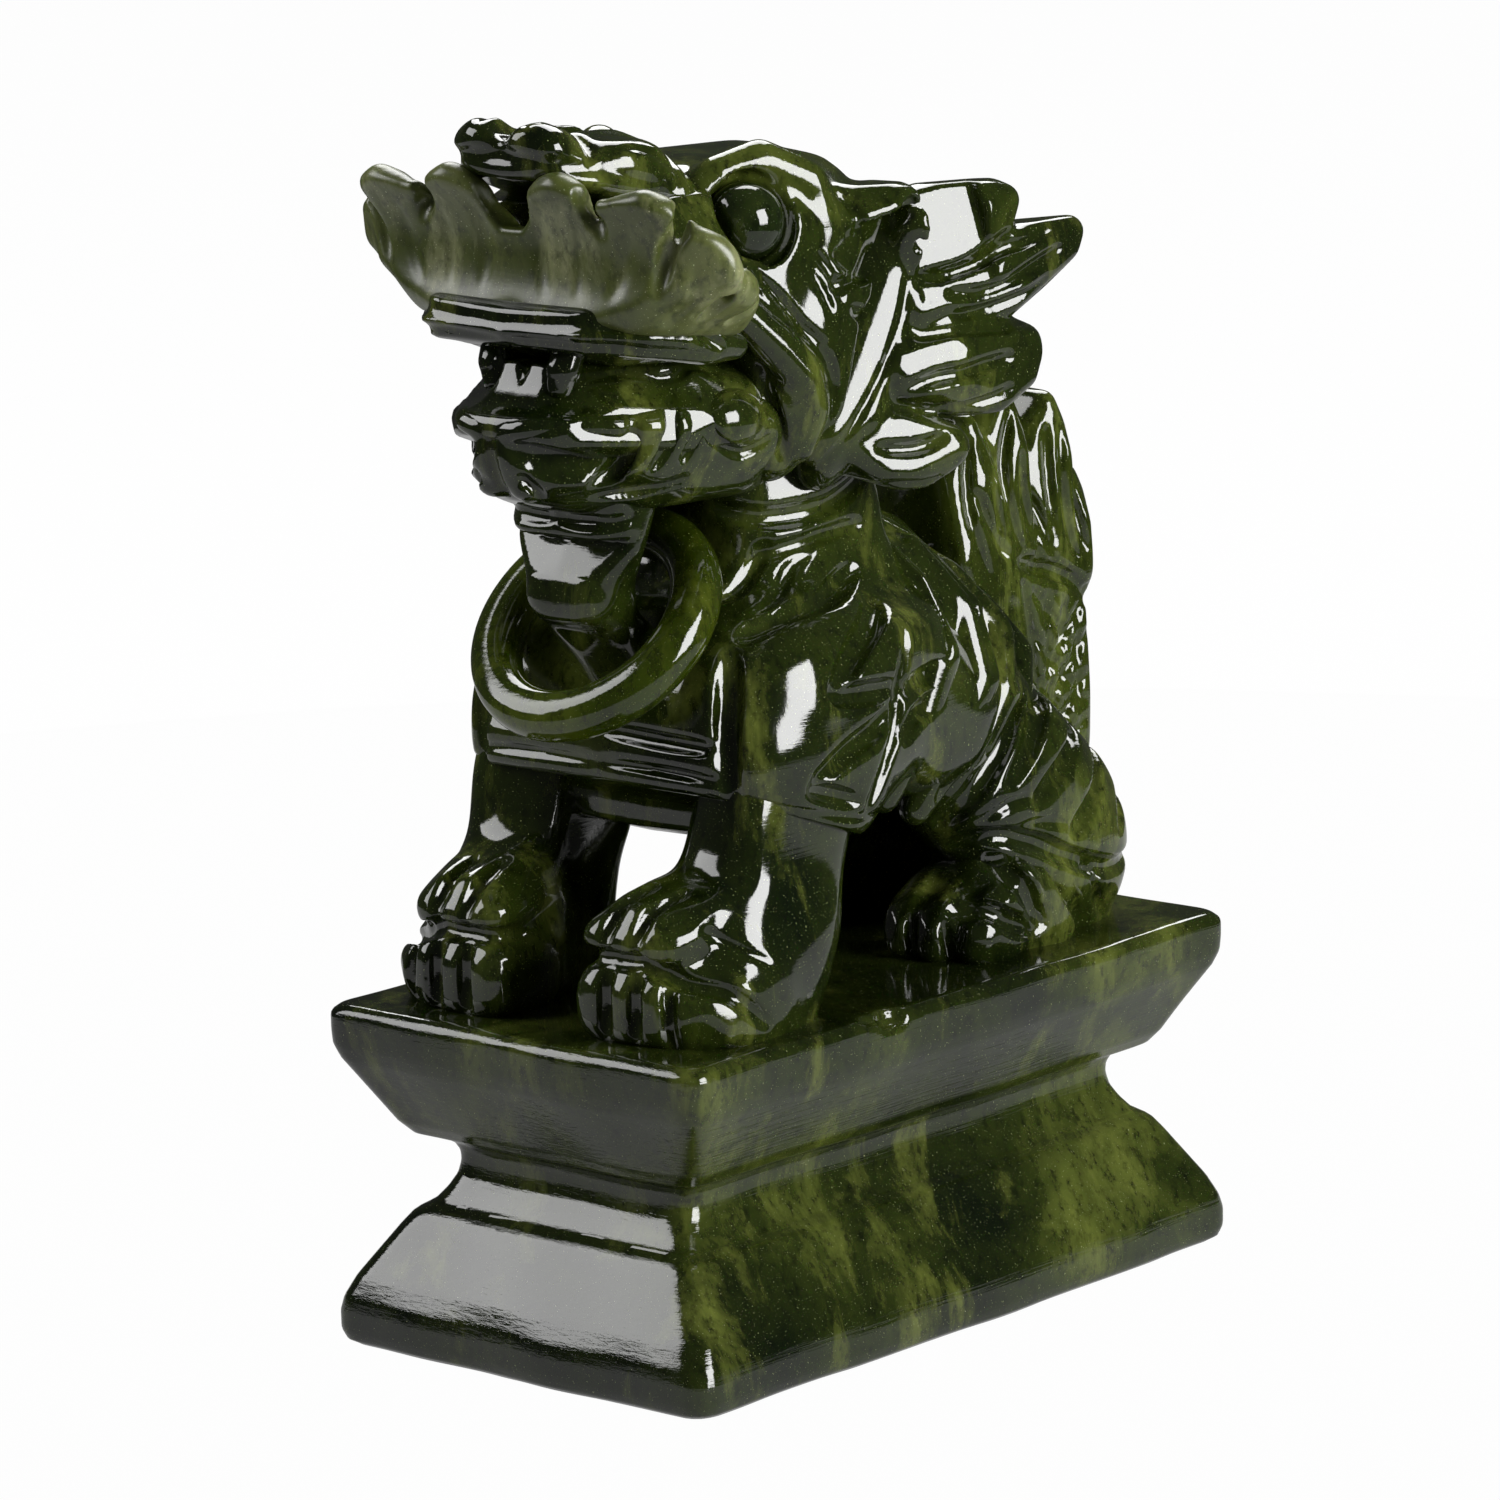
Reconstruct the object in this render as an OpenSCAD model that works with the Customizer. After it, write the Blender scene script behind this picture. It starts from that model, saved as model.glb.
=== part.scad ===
// Seated mythical dragon on a waisted pedestal, carved from one block of jade,
// with a loose captive ring round the post under the chin.
// +Z is up, the dragon faces -Y and its left side is +X.
// The origin is the centre of the pedestal's flat underside.

/* [Pedestal] */
// Length of the pedestal, front to back
base_l = 82.4; // [80:0.2:86]
// Width of the pedestal, side to side
base_w = 48; // [46:0.5:52]
// Height of the sloping foot, from the table to its shoulder
foot_h = 13.6; // [12:0.2:15]
// Height of the top of the waist, where the plate begins
waist_top = 20; // [19:0.2:21]
// Depth of the waist, measured in from the full outline
waist_inset = 8.4; // [6:0.2:10]
// Height of the plate that the dragon sits on
base_h = 34; // [34:1:34]
// Depth of the foot's and the plate's sloping faces
slope_inset = 5; // [4:0.2:6]
// Height of the straight band at the foot's and the plate's full outline
band_h = 4; // [3:0.2:5]

/* [Ring] */
// Outside diameter of the loose ring
ring_d = 26.4; // [25.6:0.2:26.8]
// Thickness of the stone that the ring is made of
ring_t = 4.8; // [4.2:0.1:5]
// Lean of the ring's plane from the horizontal at rest
ring_lean = 45; // [44:1:46]
// Corner radius of the ring's section
ring_round = 1.6; // [1:0.1:1.9]
// Height of the ring's centre at rest
ring_z = 71.5; // [71.3:0.1:71.8]
// Distance of the ring's centre in front of the origin
ring_y = 26.4; // [26.2:0.1:26.8]

/* [Post] */
// Half width of the post where it meets the chin
post_top_hw = 5.8; // [5:0.1:6]
// Half width of the post inside the ring
post_neck_hw = 4.6; // [4:0.1:5]

/* [Eyes] */
// Diameter of each eyeball
eye_d = 8.4; // [7.6:0.1:8.8]
// Distance of each eyeball's centre from the middle plane
eye_x = 11.2; // [10.8:0.1:11.6]

/* [Smoothness] */
// Number of sides round each rounded lump
lump_fn = 8; // [8:2:12]

/* [Hidden] */

eye_at = [eye_x, -13.6, 109.7];      // centre of the left eyeball
arc_steps = 5;                       // points on each rounded corner of the pedestal
edge_r = 1.6;                        // rounding of the pedestal's upright edges
ring_pos = [0, -ring_y, ring_z];     // centre of the ring at rest

jade = "#2c3b14";
jade_pale = "#5a6a2c";
jade_dark = "#1c2a10";
jade_grey = "#4d5a3a";

// ---------- small tools ----------

// A rounded lump, given as [x, y, z, radius]
module lump(b) translate([b[0], b[1], b[2]]) sphere(r = b[3], $fn = lump_fn);

// One smooth convex form over all the lumps
module span(lumps) hull() for (b = lumps) lump(b);

// A form that runs from each lump to the next
module strand(lumps) for (i = [0:len(lumps) - 2]) span([lumps[i], lumps[i + 1]]);

// A lump list with every lump repeated on the other side
function pair(lumps) = concat(lumps, [for (b = lumps) [-b[0], b[1], b[2], b[3]]]);

module on_right() mirror([1, 0, 0]) children();

module both_sides() {
    children();
    on_right() children();
}

// Everything above a height
module above(z) translate([-60, -60, z]) cube([120, 120, 120]);

// Everything below a height
module below(z) translate([-60, -60, z - 120]) cube([120, 120, 120]);

// ---------- pedestal ----------

// Points round a quarter of a circle, from angle a0 to a1
function arc(cx, cy, r, a0, a1) =
    [for (i = [0:arc_steps]) let (a = a0 + (a1 - a0) * i / arc_steps) [cx + r * cos(a), cy + r * sin(a)]];

// Outline of the pedestal's plan with rounded upright edges
function plan() = let (x = base_w / 2 - edge_r, y = base_l / 2 - edge_r) concat(
    arc(x, y, edge_r, 0, 90), arc(-x, y, edge_r, 90, 180),
    arc(-x, -y, edge_r, 180, 270), arc(x, -y, edge_r, 270, 360));

// Side profiles as [inset, height], from bottom to top
function foot_profile() = concat(
    [[1.2, 0], [0.3, 0.5], [0, 1.5], [0, band_h - 0.6], [0.35, band_h + 1]],
    [[slope_inset - 0.9, foot_h - 1.8], [slope_inset, foot_h - 0.6], [slope_inset + 0.9, foot_h]]);
function waist_profile() = [
    [slope_inset + 1.2, foot_h], [waist_inset - 0.9, foot_h + 1.1], [waist_inset - 0.1, foot_h + 2.8],
    [waist_inset, foot_h + 4], [waist_inset - 0.1, waist_top - 1], [waist_inset - 0.6, waist_top]];
function plate_profile() = [
    [slope_inset + 2, waist_top], [slope_inset + 0.4, waist_top + 0.6], [slope_inset - 0.6, waist_top + 2],
    [0.7, base_h - band_h - 1.9], [0.1, base_h - band_h - 0.4], [0, base_h - band_h + 1],
    [0, base_h - 0.9], [0.25, base_h - 0.25], [0.9, base_h]];

// A prism with the profile on both of its long sides
module profile_prism(profile, half, length) {
    n = len(profile);
    right = [for (p = profile) [half - p[0], p[1]]];
    left = [for (i = [0:n - 1]) [profile[n - 1 - i][0] - half, profile[n - 1 - i][1]]];
    rotate([90, 0, 0]) linear_extrude(length, center = true) polygon(concat(right, left));
}

// A block with the same profile on all four sides
module moulded_block(profile) intersection() {
    profile_prism(profile, base_w / 2, base_l + 2);
    rotate([0, 0, 90]) profile_prism(profile, base_l / 2, base_w + 2);
    linear_extrude(base_h) polygon(plan());
}

module pedestal_foot() color(jade_pale) moulded_block(foot_profile());
module pedestal_waist() color(jade_dark) moulded_block(waist_profile());
module pedestal_plate() color(jade_grey) moulded_block(plate_profile());

// ---------- legs ----------

// Four rounded toes above and four below the knuckle crease, and the sole behind them
module paw_form() {
    for (i = [0:3]) {
        x = 6.9 + i * 4.1;
        y = -34.8 + abs(i - 1.2) * 0.7;
        span([[x, y, 44.6, 2.3], [x, y + 1, 42.8, 2], [x, y + 6, 45.4, 2.6]]);
        span([[x, y - 0.4, 39.6, 2.4], [x, y - 0.2, 35.6, 2.3], [x, y + 6, 39, 2.6]]);
    }
    span([[7.6, -27, 38, 3.4], [19, -27, 38, 3.2], [8.6, -10, 37.5, 4], [17.4, -10, 37.5, 3.8],
          [8, -28, 44.2, 3.4], [18.4, -28, 43.8, 3.2], [9.5, -13, 47, 4], [17, -13, 47, 3.6]]);
}

// The leg from the top of the paw to the hem of the chest
module leg_form() span([[9.6, -22, 45, 4.6], [16.6, -22, 45, 4.2], [9.6, -12, 45, 4.4], [16.6, -11, 45, 4],
    [10.4, -19.5, 57, 5], [14, -19, 57, 5], [10.6, -8, 54, 5], [14.4, -8, 54, 4.8]]);

module forepaw() color(jade) difference() {
    paw_form();
    below(base_h);
    above(47.4);
}

module foreleg() color(jade_dark) difference() {
    leg_form();
    below(47.4);
    torso_form();
}

module left_forepaw() forepaw();
module right_forepaw() on_right() forepaw();
module left_foreleg() foreleg();
module right_foreleg() on_right() foreleg();

// The folded hind leg
module haunch_form() {
    span([[11, 19, 53, 7.4], [11.6, 15, 51, 6.6], [9.6, 30, 43, 7.4], [11.4, 22, 44, 7.4], [11.6, 10, 53, 5]]);
    span([[9.4, 32, 39, 6.4], [11.4, 25, 40, 6.4], [9.4, 33, 36, 5]]);
}

// The hind paw with its three toes turned forwards
module hind_paw_form() {
    span([[12.4, 27, 37.6, 4.6], [14.4, 13, 38.6, 4.6], [11, 13, 38, 4.4]]);
    for (i = [0:2]) {
        x = 10.8 + i * 3.6;
        span([[x, 7.6 + i * 0.9, 37.2, 2.4], [x, 7.2 + i * 0.9, 35.6, 2.2], [x + 0.3, 15, 40, 3]]);
    }
}

module haunch() color(jade) difference() {
    haunch_form();
    below(base_h);
    hind_paw_form();
    tail_base_form();
    torso_form();
    back_mane_form();
}

module hind_paw() color(jade_grey) difference() {
    hind_paw_form();
    below(base_h);
}

module left_haunch() haunch();
module right_haunch() on_right() haunch();
module left_hind_paw() hind_paw();
module right_hind_paw() on_right() hind_paw();

// ---------- body ----------

module torso_form() difference() {
    union() {
        span(pair([[11, -20.8, 63.4, 7], [13.6, -12, 62, 6.6], [11.4, -20.4, 59, 7], [12.6, -6, 57, 6.4]]));
        span(pair([[10, -17, 66, 7], [13, -10, 66, 7], [9, 8, 62, 7], [11, 8, 57, 6]]));
        span(pair([[9, 6, 58, 7.4], [8, 22, 54, 6.6], [10, 8, 54, 5]]));
    }
    below(51);
}

module torso() color(jade) difference() {
    torso_form();
    post_form();
    ring_room();
    back_mane_form();
    tail_base_form();
}

module neck_form() difference() {
    span(pair([[4.6, -10, 84, 4.6], [5.6, -2, 85, 5], [6.4, -9, 70, 5.4], [7, 2, 70, 6]]));
    above(84.2);
}

module neck() color(jade_dark) difference() {
    neck_form();
    torso_form();
    back_mane_form();
    ring_room();
}

// Overlapping wavy locks that run down the back on each side of the spine
module back_mane_form() {
    both_sides() for (i = [0:3]) {
        y = 3 + i * 5;
        z = 73 - i * 3.4;
        strand([[4, y, z, 3.2], [8.6, y + 3, z - 5, 3], [11.4, y + 3.4, z - 10, 2]]);
    }
    span([[0, 2, 75, 4], [0, 21, 63, 4]]);
}

module back_mane() color(jade_pale) difference() {
    back_mane_form();
    tail_base_form();
}

// ---------- tail ----------

module tail_base_form() {
    span(pair([[4.8, 38.6, 48, 2.4], [4.8, 38.6, 66, 2.4], [4.8, 24, 66, 2.6], [4.8, 30, 52, 2.6]]));
    span(pair([[4, 36, 40, 3.4], [4, 30, 52, 2.6], [4, 37.4, 50, 3]]));
}

module tail_base() color(jade_grey) difference() {
    tail_base_form();
    above(67);
    below(base_h);
}

// Upright flame-like locks of hair, tallest at the front
module tail_flames_form() {
    both_sides() for (i = [0:4]) {
        y = 23.4 + i * 3.8;
        top = i == 0 ? 83 : (i == 4 ? 76 : 85 - 0.4 * i);
        span([[4.8, y, top, 1.8], [4.8, y + 0.4, 72, 2.4], [4.8, y + 0.4, 66, 2.2]]);
    }
    span(pair([[2.6, 23.6, 79, 2], [2.6, 36.8, 79, 2], [2.6, 24, 66, 2], [2.6, 37, 66, 2]]));
}

module tail_flames() color(jade_pale) difference() {
    tail_flames_form();
    below(67);
}

// ---------- head ----------

module eye_form() translate(eye_at) hull() sphere(d = eye_d, $fn = 20);
module left_eye() color("#16200c") eye_form();
module right_eye() on_right() left_eye();

// The pointed ear behind the brow
module ear_form() span([[12, -6, 108.6, 3.4], [13, -2, 107.6, 3.4], [15.6, 2.4, 109.4, 1.4]]);
module left_ear() color(jade) difference() {
    ear_form();
    eye_form();
}
module right_ear() on_right() left_ear();

module skull_form() {
    span(pair([[7.4, -19, 107, 4.6], [8.6, -12, 108.4, 5.6], [9.4, -4, 105, 5.4], [8, 3, 103, 5],
               [8, -16, 102, 4], [8.4, 1, 92, 5], [9, -5, 91, 5]]));
    both_sides() span([[9, -17, 112, 2.6], [9.4, -12, 113.4, 2.6], [10.4, -8, 111.4, 2.6]]);
}

module skull() color(jade) difference() {
    skull_form();
    both_sides() {
        eye_form();
        ear_form();
        cheek_form();
        side_mane_form();
    }
    neck_form();
    lower_jaw_form();
    snout_form();
    nose_ridge_form();
    mouth_form();
}

// The flat cheek between the mouth's corner and the collar of hair
module cheek_form() {
    span([[11.4, -13, 101, 3.4], [13, -5, 102, 3.4], [12.6, -13, 90, 3], [13.6, -9, 92, 3], [11, -14, 87, 3]]);
    strand([[11.6, -20, 103, 2.4], [13.4, -15, 97, 2.6], [13.4, -11.5, 90, 2.8]]);
}
module left_cheek() color(jade_grey) difference() {
    cheek_form();
    side_mane_form();
    eye_form();
    ear_form();
    mouth_form();
    snout_form();
    lower_jaw_form();
}
module right_cheek() on_right() left_cheek();

// Four pointed tufts of hair swept back from the collar
module side_mane_form() {
    strand([[14.6, 0, 104, 3.4], [16.6, 6, 105.6, 4], [19, 12.4, 108, 2]]);
    strand([[14.6, 1, 99.6, 3.4], [17.4, 11, 101, 4], [20, 21, 104, 2]]);
    strand([[14.8, -2, 94, 3.6], [17.6, 6, 93, 4.2], [19.6, 14.4, 92.6, 2.8]]);
    strand([[13, -7, 88, 3], [16.4, -1, 86, 3.4], [19, 3, 85, 2.6]]);
    span([[14.4, 1, 107, 2.4], [14.6, -2, 96, 2.8], [13, -7.6, 88, 2.6], [9, 4, 90, 3], [9, 6, 104, 3]]);
}
module left_side_mane() color(jade_pale) difference() {
    side_mane_form();
    ear_form();
    neck_form();
}
module right_side_mane() on_right() left_side_mane();

// The broad muzzle above the mouth, with the rolled lip along its lower edge
module snout_form() {
    span(pair([[7.6, -34.6, 104.6, 2.6], [11.6, -21, 104.6, 2.8], [7, -33, 112, 3], [8.6, -20, 110, 3]]));
    span(pair([[8, -35.2, 102, 1.8], [12.4, -23, 101, 1.8], [8.6, -34, 103.4, 1.8], [12.4, -19, 102.6, 1.8]]));
}
module snout() color(jade_pale) difference() {
    snout_form();
    nose_ridge_form();
    both_sides() eye_form();
}

// Scalloped strip of the nose, three waves on each side
module nose_ridge_form() {
    both_sides() for (i = [0:2])
        span([[3.4, -36.6 + 6.6 * i, 118 - 1.4 * i, 2.2], [6.4 + 0.8 * i, -33 + 6.6 * i, 116 - 1.4 * i, 2],
              [3.4, -30.4 + 6.6 * i, 117 - 1.4 * i, 2.2]]);
    strand([[0, -36.4, 119, 2.4], [0, -26, 117, 2.4], [0, -12, 112.4, 2.4]]);
    span(pair([[3, -36, 115.6, 2.2], [4.6, -15, 111, 2.2], [3, -26, 115.6, 2]]));
}
module nose_ridge() color(jade_dark) nose_ridge_form();

// Broad scallops that flare up and outwards round the muzzle
module frill_form() {
    span(pair([[4, -35.8, 106, 1.6], [3, -36.4, 110, 1.6]]));
    both_sides() frill_half();
}
module frill_half() {
    strand([[3.8, -36, 105, 1.6], [5.8, -38.4, 114.6, 2]]);
    span([[5, -35.6, 105, 1.8], [7.8, -37.6, 113.6, 2.2], [3.8, -37.8, 113.8, 2.2], [8.2, -35.6, 105, 1.8]]);
    span([[9, -34.8, 105, 1.8], [12.6, -36.4, 113, 2.2], [17.4, -35.4, 112.6, 2.2], [12.6, -33, 105, 2]]);
    span([[12, -32, 104.6, 1.8], [20.6, -33, 108.4, 2], [17.4, -30.6, 109, 1.8], [14, -28, 104.2, 1.8]]);
    span([[13, -27.4, 103.4, 1.8], [17.6, -27.6, 104.4, 1.8], [15.4, -25, 106.4, 1.8]]);
    span([[13.4, -25.4, 103.4, 1.8], [15.6, -22.8, 103.4, 1.8], [14, -20.4, 105.4, 1.8]]);
}
module upper_lip_frill() color(jade_pale) difference() {
    frill_form();
    snout_form();
    nose_ridge_form();
    both_sides() cheek_form();
}

// The open mouth
module mouth_form() difference() {
    span(pair([[12, -46, 97, 3], [14, -16, 97, 2.6], [12, -46, 95, 3], [14, -18, 95, 2.2]]));
    snout_form();
}

module lower_jaw_form() {
    span(pair([[3.4, -38, 91, 2.4], [8.6, -31, 91, 2.6], [10.8, -16, 89.4, 3.4], [3.6, -36.4, 88, 2.2],
               [9, -14, 87, 3]]));
    span(pair([[2.6, -35.6, 86.8, 1.8], [6.4, -28, 86.4, 2.4], [8.6, -15, 86, 2.6]]));
}
module lower_jaw() color(jade_grey) difference() {
    lower_jaw_form();
    tongue_form();
    both_sides() side_mane_form();
    neck_form();
    post_form();
}

// The tongue, a thick slab along the mouth's floor with a straight top
module tongue_form() {
    span(pair([[4.4, -33, 96.4, 1.4], [6.4, -16, 95.4, 1.8], [5, -35, 92.6, 2], [7, -16, 91.6, 2]]));
    span(pair([[5.2, -37, 91.4, 1.6], [6.8, -16, 90.6, 2]]));
}
module tongue() color(jade_dark) difference() {
    tongue_form();
    skull_form();
}

// The short front teeth between the tongue and the upper lip
module fang_form() span([[4.8, -34.6, 100.6, 1.5], [4.8, -34.8, 97.2, 1.2]]);
module left_fang() color(jade_grey) difference() {
    fang_form();
    snout_form();
    tongue_form();
    frill_form();
}
module right_fang() on_right() left_fang();

// ---------- ring and its post ----------

// The post leans forwards out of the chest and turns up into the chin
module post_form() difference() {
    union() {
        span([[-2.6, -23, 66, 2.4], [2.6, -23, 66, 2.4],
              [-2.4, -28.4, 74.4, post_neck_hw - 2.4], [2.4, -28.4, 74.4, post_neck_hw - 2.4],
              [-2.4, -30.4, 73.6, post_neck_hw - 2.4], [2.4, -30.4, 73.6, post_neck_hw - 2.4]]);
        span(pair([[post_top_hw - 1.6, -31.6, 75, 1.6], [post_top_hw - 1.6, -27.8, 77, 1.6],
                   [post_top_hw - 1.4, -31.4, 84, 1.6], [post_top_hw - 1.4, -27, 84, 1.6]]));
    }
    above(85.4);
}
module ring_post() color(jade_dark) post_form();

// Swept room that the ring needs where it rests against the chest
module ring_room() translate(ring_pos) rotate([ring_lean, 0, 0])
    rotate_extrude($fn = 24) translate([(ring_d - ring_t) / 2 + 0.1, 0]) square(ring_t + 1, center = true);

module loose_ring() color(jade) translate(ring_pos) rotate([ring_lean, 0, 0])
    rotate_extrude($fn = 72) translate([(ring_d - ring_t) / 2, 0]) {
        square([ring_t - 2 * ring_round, ring_t], center = true);
        square([ring_t, ring_t - 2 * ring_round], center = true);
        for (a = [-1, 1], b = [-1, 1])
            translate([a, b] * (ring_t / 2 - ring_round)) circle(ring_round, $fn = 24);
    }

pedestal_foot();
pedestal_waist();
pedestal_plate();
left_forepaw();
right_forepaw();
left_foreleg();
right_foreleg();
left_haunch();
right_haunch();
left_hind_paw();
right_hind_paw();
torso();
neck();
back_mane();
tail_base();
tail_flames();
skull();
left_eye();
right_eye();
left_ear();
right_ear();
left_side_mane();
right_side_mane();
left_cheek();
right_cheek();
snout();
nose_ridge();
upper_lip_frill();
lower_jaw();
tongue();
left_fang();
right_fang();
ring_post();
loose_ring();
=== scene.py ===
"""Jade dragon with a loose ring: the looks.

Every carved zone of the stone is sculpted as a field of signed distances, as a carver works: rough
masses first, then shaved faces, then the wheel-cut lines. All sizes are in millimetres until the
mesh is made. The dragon faces -Y, its left side is +X, and the pedestal stands on z = 0.
"""
import math
import bpy
import numpy as np
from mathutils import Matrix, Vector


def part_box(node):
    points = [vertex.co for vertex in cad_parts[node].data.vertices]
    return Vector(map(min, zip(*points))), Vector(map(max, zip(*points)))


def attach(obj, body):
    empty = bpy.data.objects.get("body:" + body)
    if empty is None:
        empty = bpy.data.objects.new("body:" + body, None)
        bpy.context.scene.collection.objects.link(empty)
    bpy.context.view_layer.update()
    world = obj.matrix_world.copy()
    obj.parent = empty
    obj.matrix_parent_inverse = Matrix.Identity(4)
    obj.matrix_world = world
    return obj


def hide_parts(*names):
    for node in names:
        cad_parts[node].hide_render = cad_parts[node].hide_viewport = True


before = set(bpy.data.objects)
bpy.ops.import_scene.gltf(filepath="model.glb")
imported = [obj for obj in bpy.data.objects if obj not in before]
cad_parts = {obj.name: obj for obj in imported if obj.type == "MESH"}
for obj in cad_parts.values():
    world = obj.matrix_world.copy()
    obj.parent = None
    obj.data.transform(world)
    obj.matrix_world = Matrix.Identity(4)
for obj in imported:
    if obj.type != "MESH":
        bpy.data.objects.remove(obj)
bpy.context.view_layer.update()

import openvdb
from mathutils import Matrix, Vector

MM = 0.001
STEP = 0.28           # size of one cell of stone
FAR = 9.0                               # distance held where nothing has been carved yet

# ------------------------------------------------------------------ shapes


def unit(v):
    v = np.asarray(v, float)
    return v / np.linalg.norm(v)


def sphere_directions(count):
    """Evenly spread unit vectors, with the six axis directions."""
    i = np.arange(count) + 0.5
    z = 1 - 2 * i / count
    turn = math.pi * (1 + 5 ** 0.5) * i
    r = np.sqrt(1 - z * z)
    spread = np.stack([r * np.cos(turn), r * np.sin(turn), z], 1)
    return np.concatenate([spread, np.eye(3), -np.eye(3)])


DIRECTIONS = sphere_directions(44)


class Span:
    """The convex form over round lumps [x, y, z, radius], with slightly faceted sides."""

    def __init__(self, lumps, mirrored=False):
        lumps = np.array(lumps, float)
        if mirrored:
            other = lumps.copy()
            other[:, 0] *= -1
            lumps = np.concatenate([lumps, other])
        centre, radius = lumps[:, :3], lumps[:, 3]
        self.low = (centre - radius[:, None]).min(0)
        self.high = (centre + radius[:, None]).max(0)
        self.reach = (DIRECTIONS @ centre.T + radius).max(1)

    def distance(self, x, y, z):
        best = None
        for n, reach in zip(DIRECTIONS, self.reach):
            d = x * n[0] + y * n[1] + z * n[2] - reach
            best = d if best is None else np.maximum(best, d, out=best)
        return best


class Strand:
    """A round form through points [x, y, z, radius], straight from each to the next."""

    def __init__(self, points):
        self.points = np.array(points, float)
        self.low = (self.points[:, :3] - self.points[:, 3:]).min(0)
        self.high = (self.points[:, :3] + self.points[:, 3:]).max(0)

    def distance(self, x, y, z):
        best = None
        for a, b in zip(self.points[:-1], self.points[1:]):
            along = b[:3] - a[:3]
            size = max(float(along @ along), 1e-9)
            t = ((x - a[0]) * along[0] + (y - a[1]) * along[1] + (z - a[2]) * along[2]) / size
            t = np.clip(t, 0, 1)
            gap = sum((c - a[i] - t * along[i]) ** 2 for i, c in enumerate((x, y, z)))
            d = np.sqrt(gap) - (a[3] + t * (b[3] - a[3]))
            best = d if best is None else np.minimum(best, d)
        return best


class Ball:
    """A ball, or an ellipsoid along the axes."""

    def __init__(self, centre, radii):
        self.centre = np.array(centre, float)
        self.radii = np.broadcast_to(np.array(radii, float), 3)
        self.low, self.high = self.centre - self.radii, self.centre + self.radii

    def distance(self, x, y, z):
        p = [x - self.centre[0], y - self.centre[1], z - self.centre[2]]
        q = [p[i] / self.radii[i] for i in range(3)]
        k = np.sqrt(q[0] ** 2 + q[1] ** 2 + q[2] ** 2)
        g = np.sqrt(sum((q[i] / self.radii[i]) ** 2 for i in range(3))) + 1e-6
        return k * (k - 1) / g


class Hoop:
    """A ring of round section."""

    def __init__(self, centre, normal, radius, section):
        self.centre, self.normal = np.array(centre, float), unit(normal)
        self.radius, self.section = radius, section
        self.low, self.high = self.centre - radius - section, self.centre + radius + section

    def distance(self, x, y, z):
        p = [x - self.centre[0], y - self.centre[1], z - self.centre[2]]
        h = p[0] * self.normal[0] + p[1] * self.normal[1] + p[2] * self.normal[2]
        r = np.sqrt(np.maximum(p[0] ** 2 + p[1] ** 2 + p[2] ** 2 - h * h, 0))
        return np.sqrt((r - self.radius) ** 2 + h * h) - self.section


class Beyond:
    """Everything on the far side of a plane, inside a box."""

    def __init__(self, point, normal, low=(-60, -60, -10), high=(60, 60, 140)):
        self.point, self.normal = np.array(point, float), unit(normal)
        self.low, self.high = np.array(low, float), np.array(high, float)

    def distance(self, x, y, z):
        n, p = self.normal, self.point
        d = -((x - p[0]) * n[0] + (y - p[1]) * n[1] + (z - p[2]) * n[2])
        for axis, c in enumerate((x, y, z)):
            d = np.maximum(d, np.maximum(self.low[axis] - c, c - self.high[axis]))
        return d


# ------------------------------------------------------------------ clay


def soft_min(a, b, k):
    """The smaller of two distances, blended where they are within k of each other."""
    if k <= 0:
        return np.minimum(a, b)
    h = np.clip(0.5 + 0.5 * (b - a) / k, 0, 1)
    return b + (a - b) * h - k * h * (1 - h)


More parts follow.
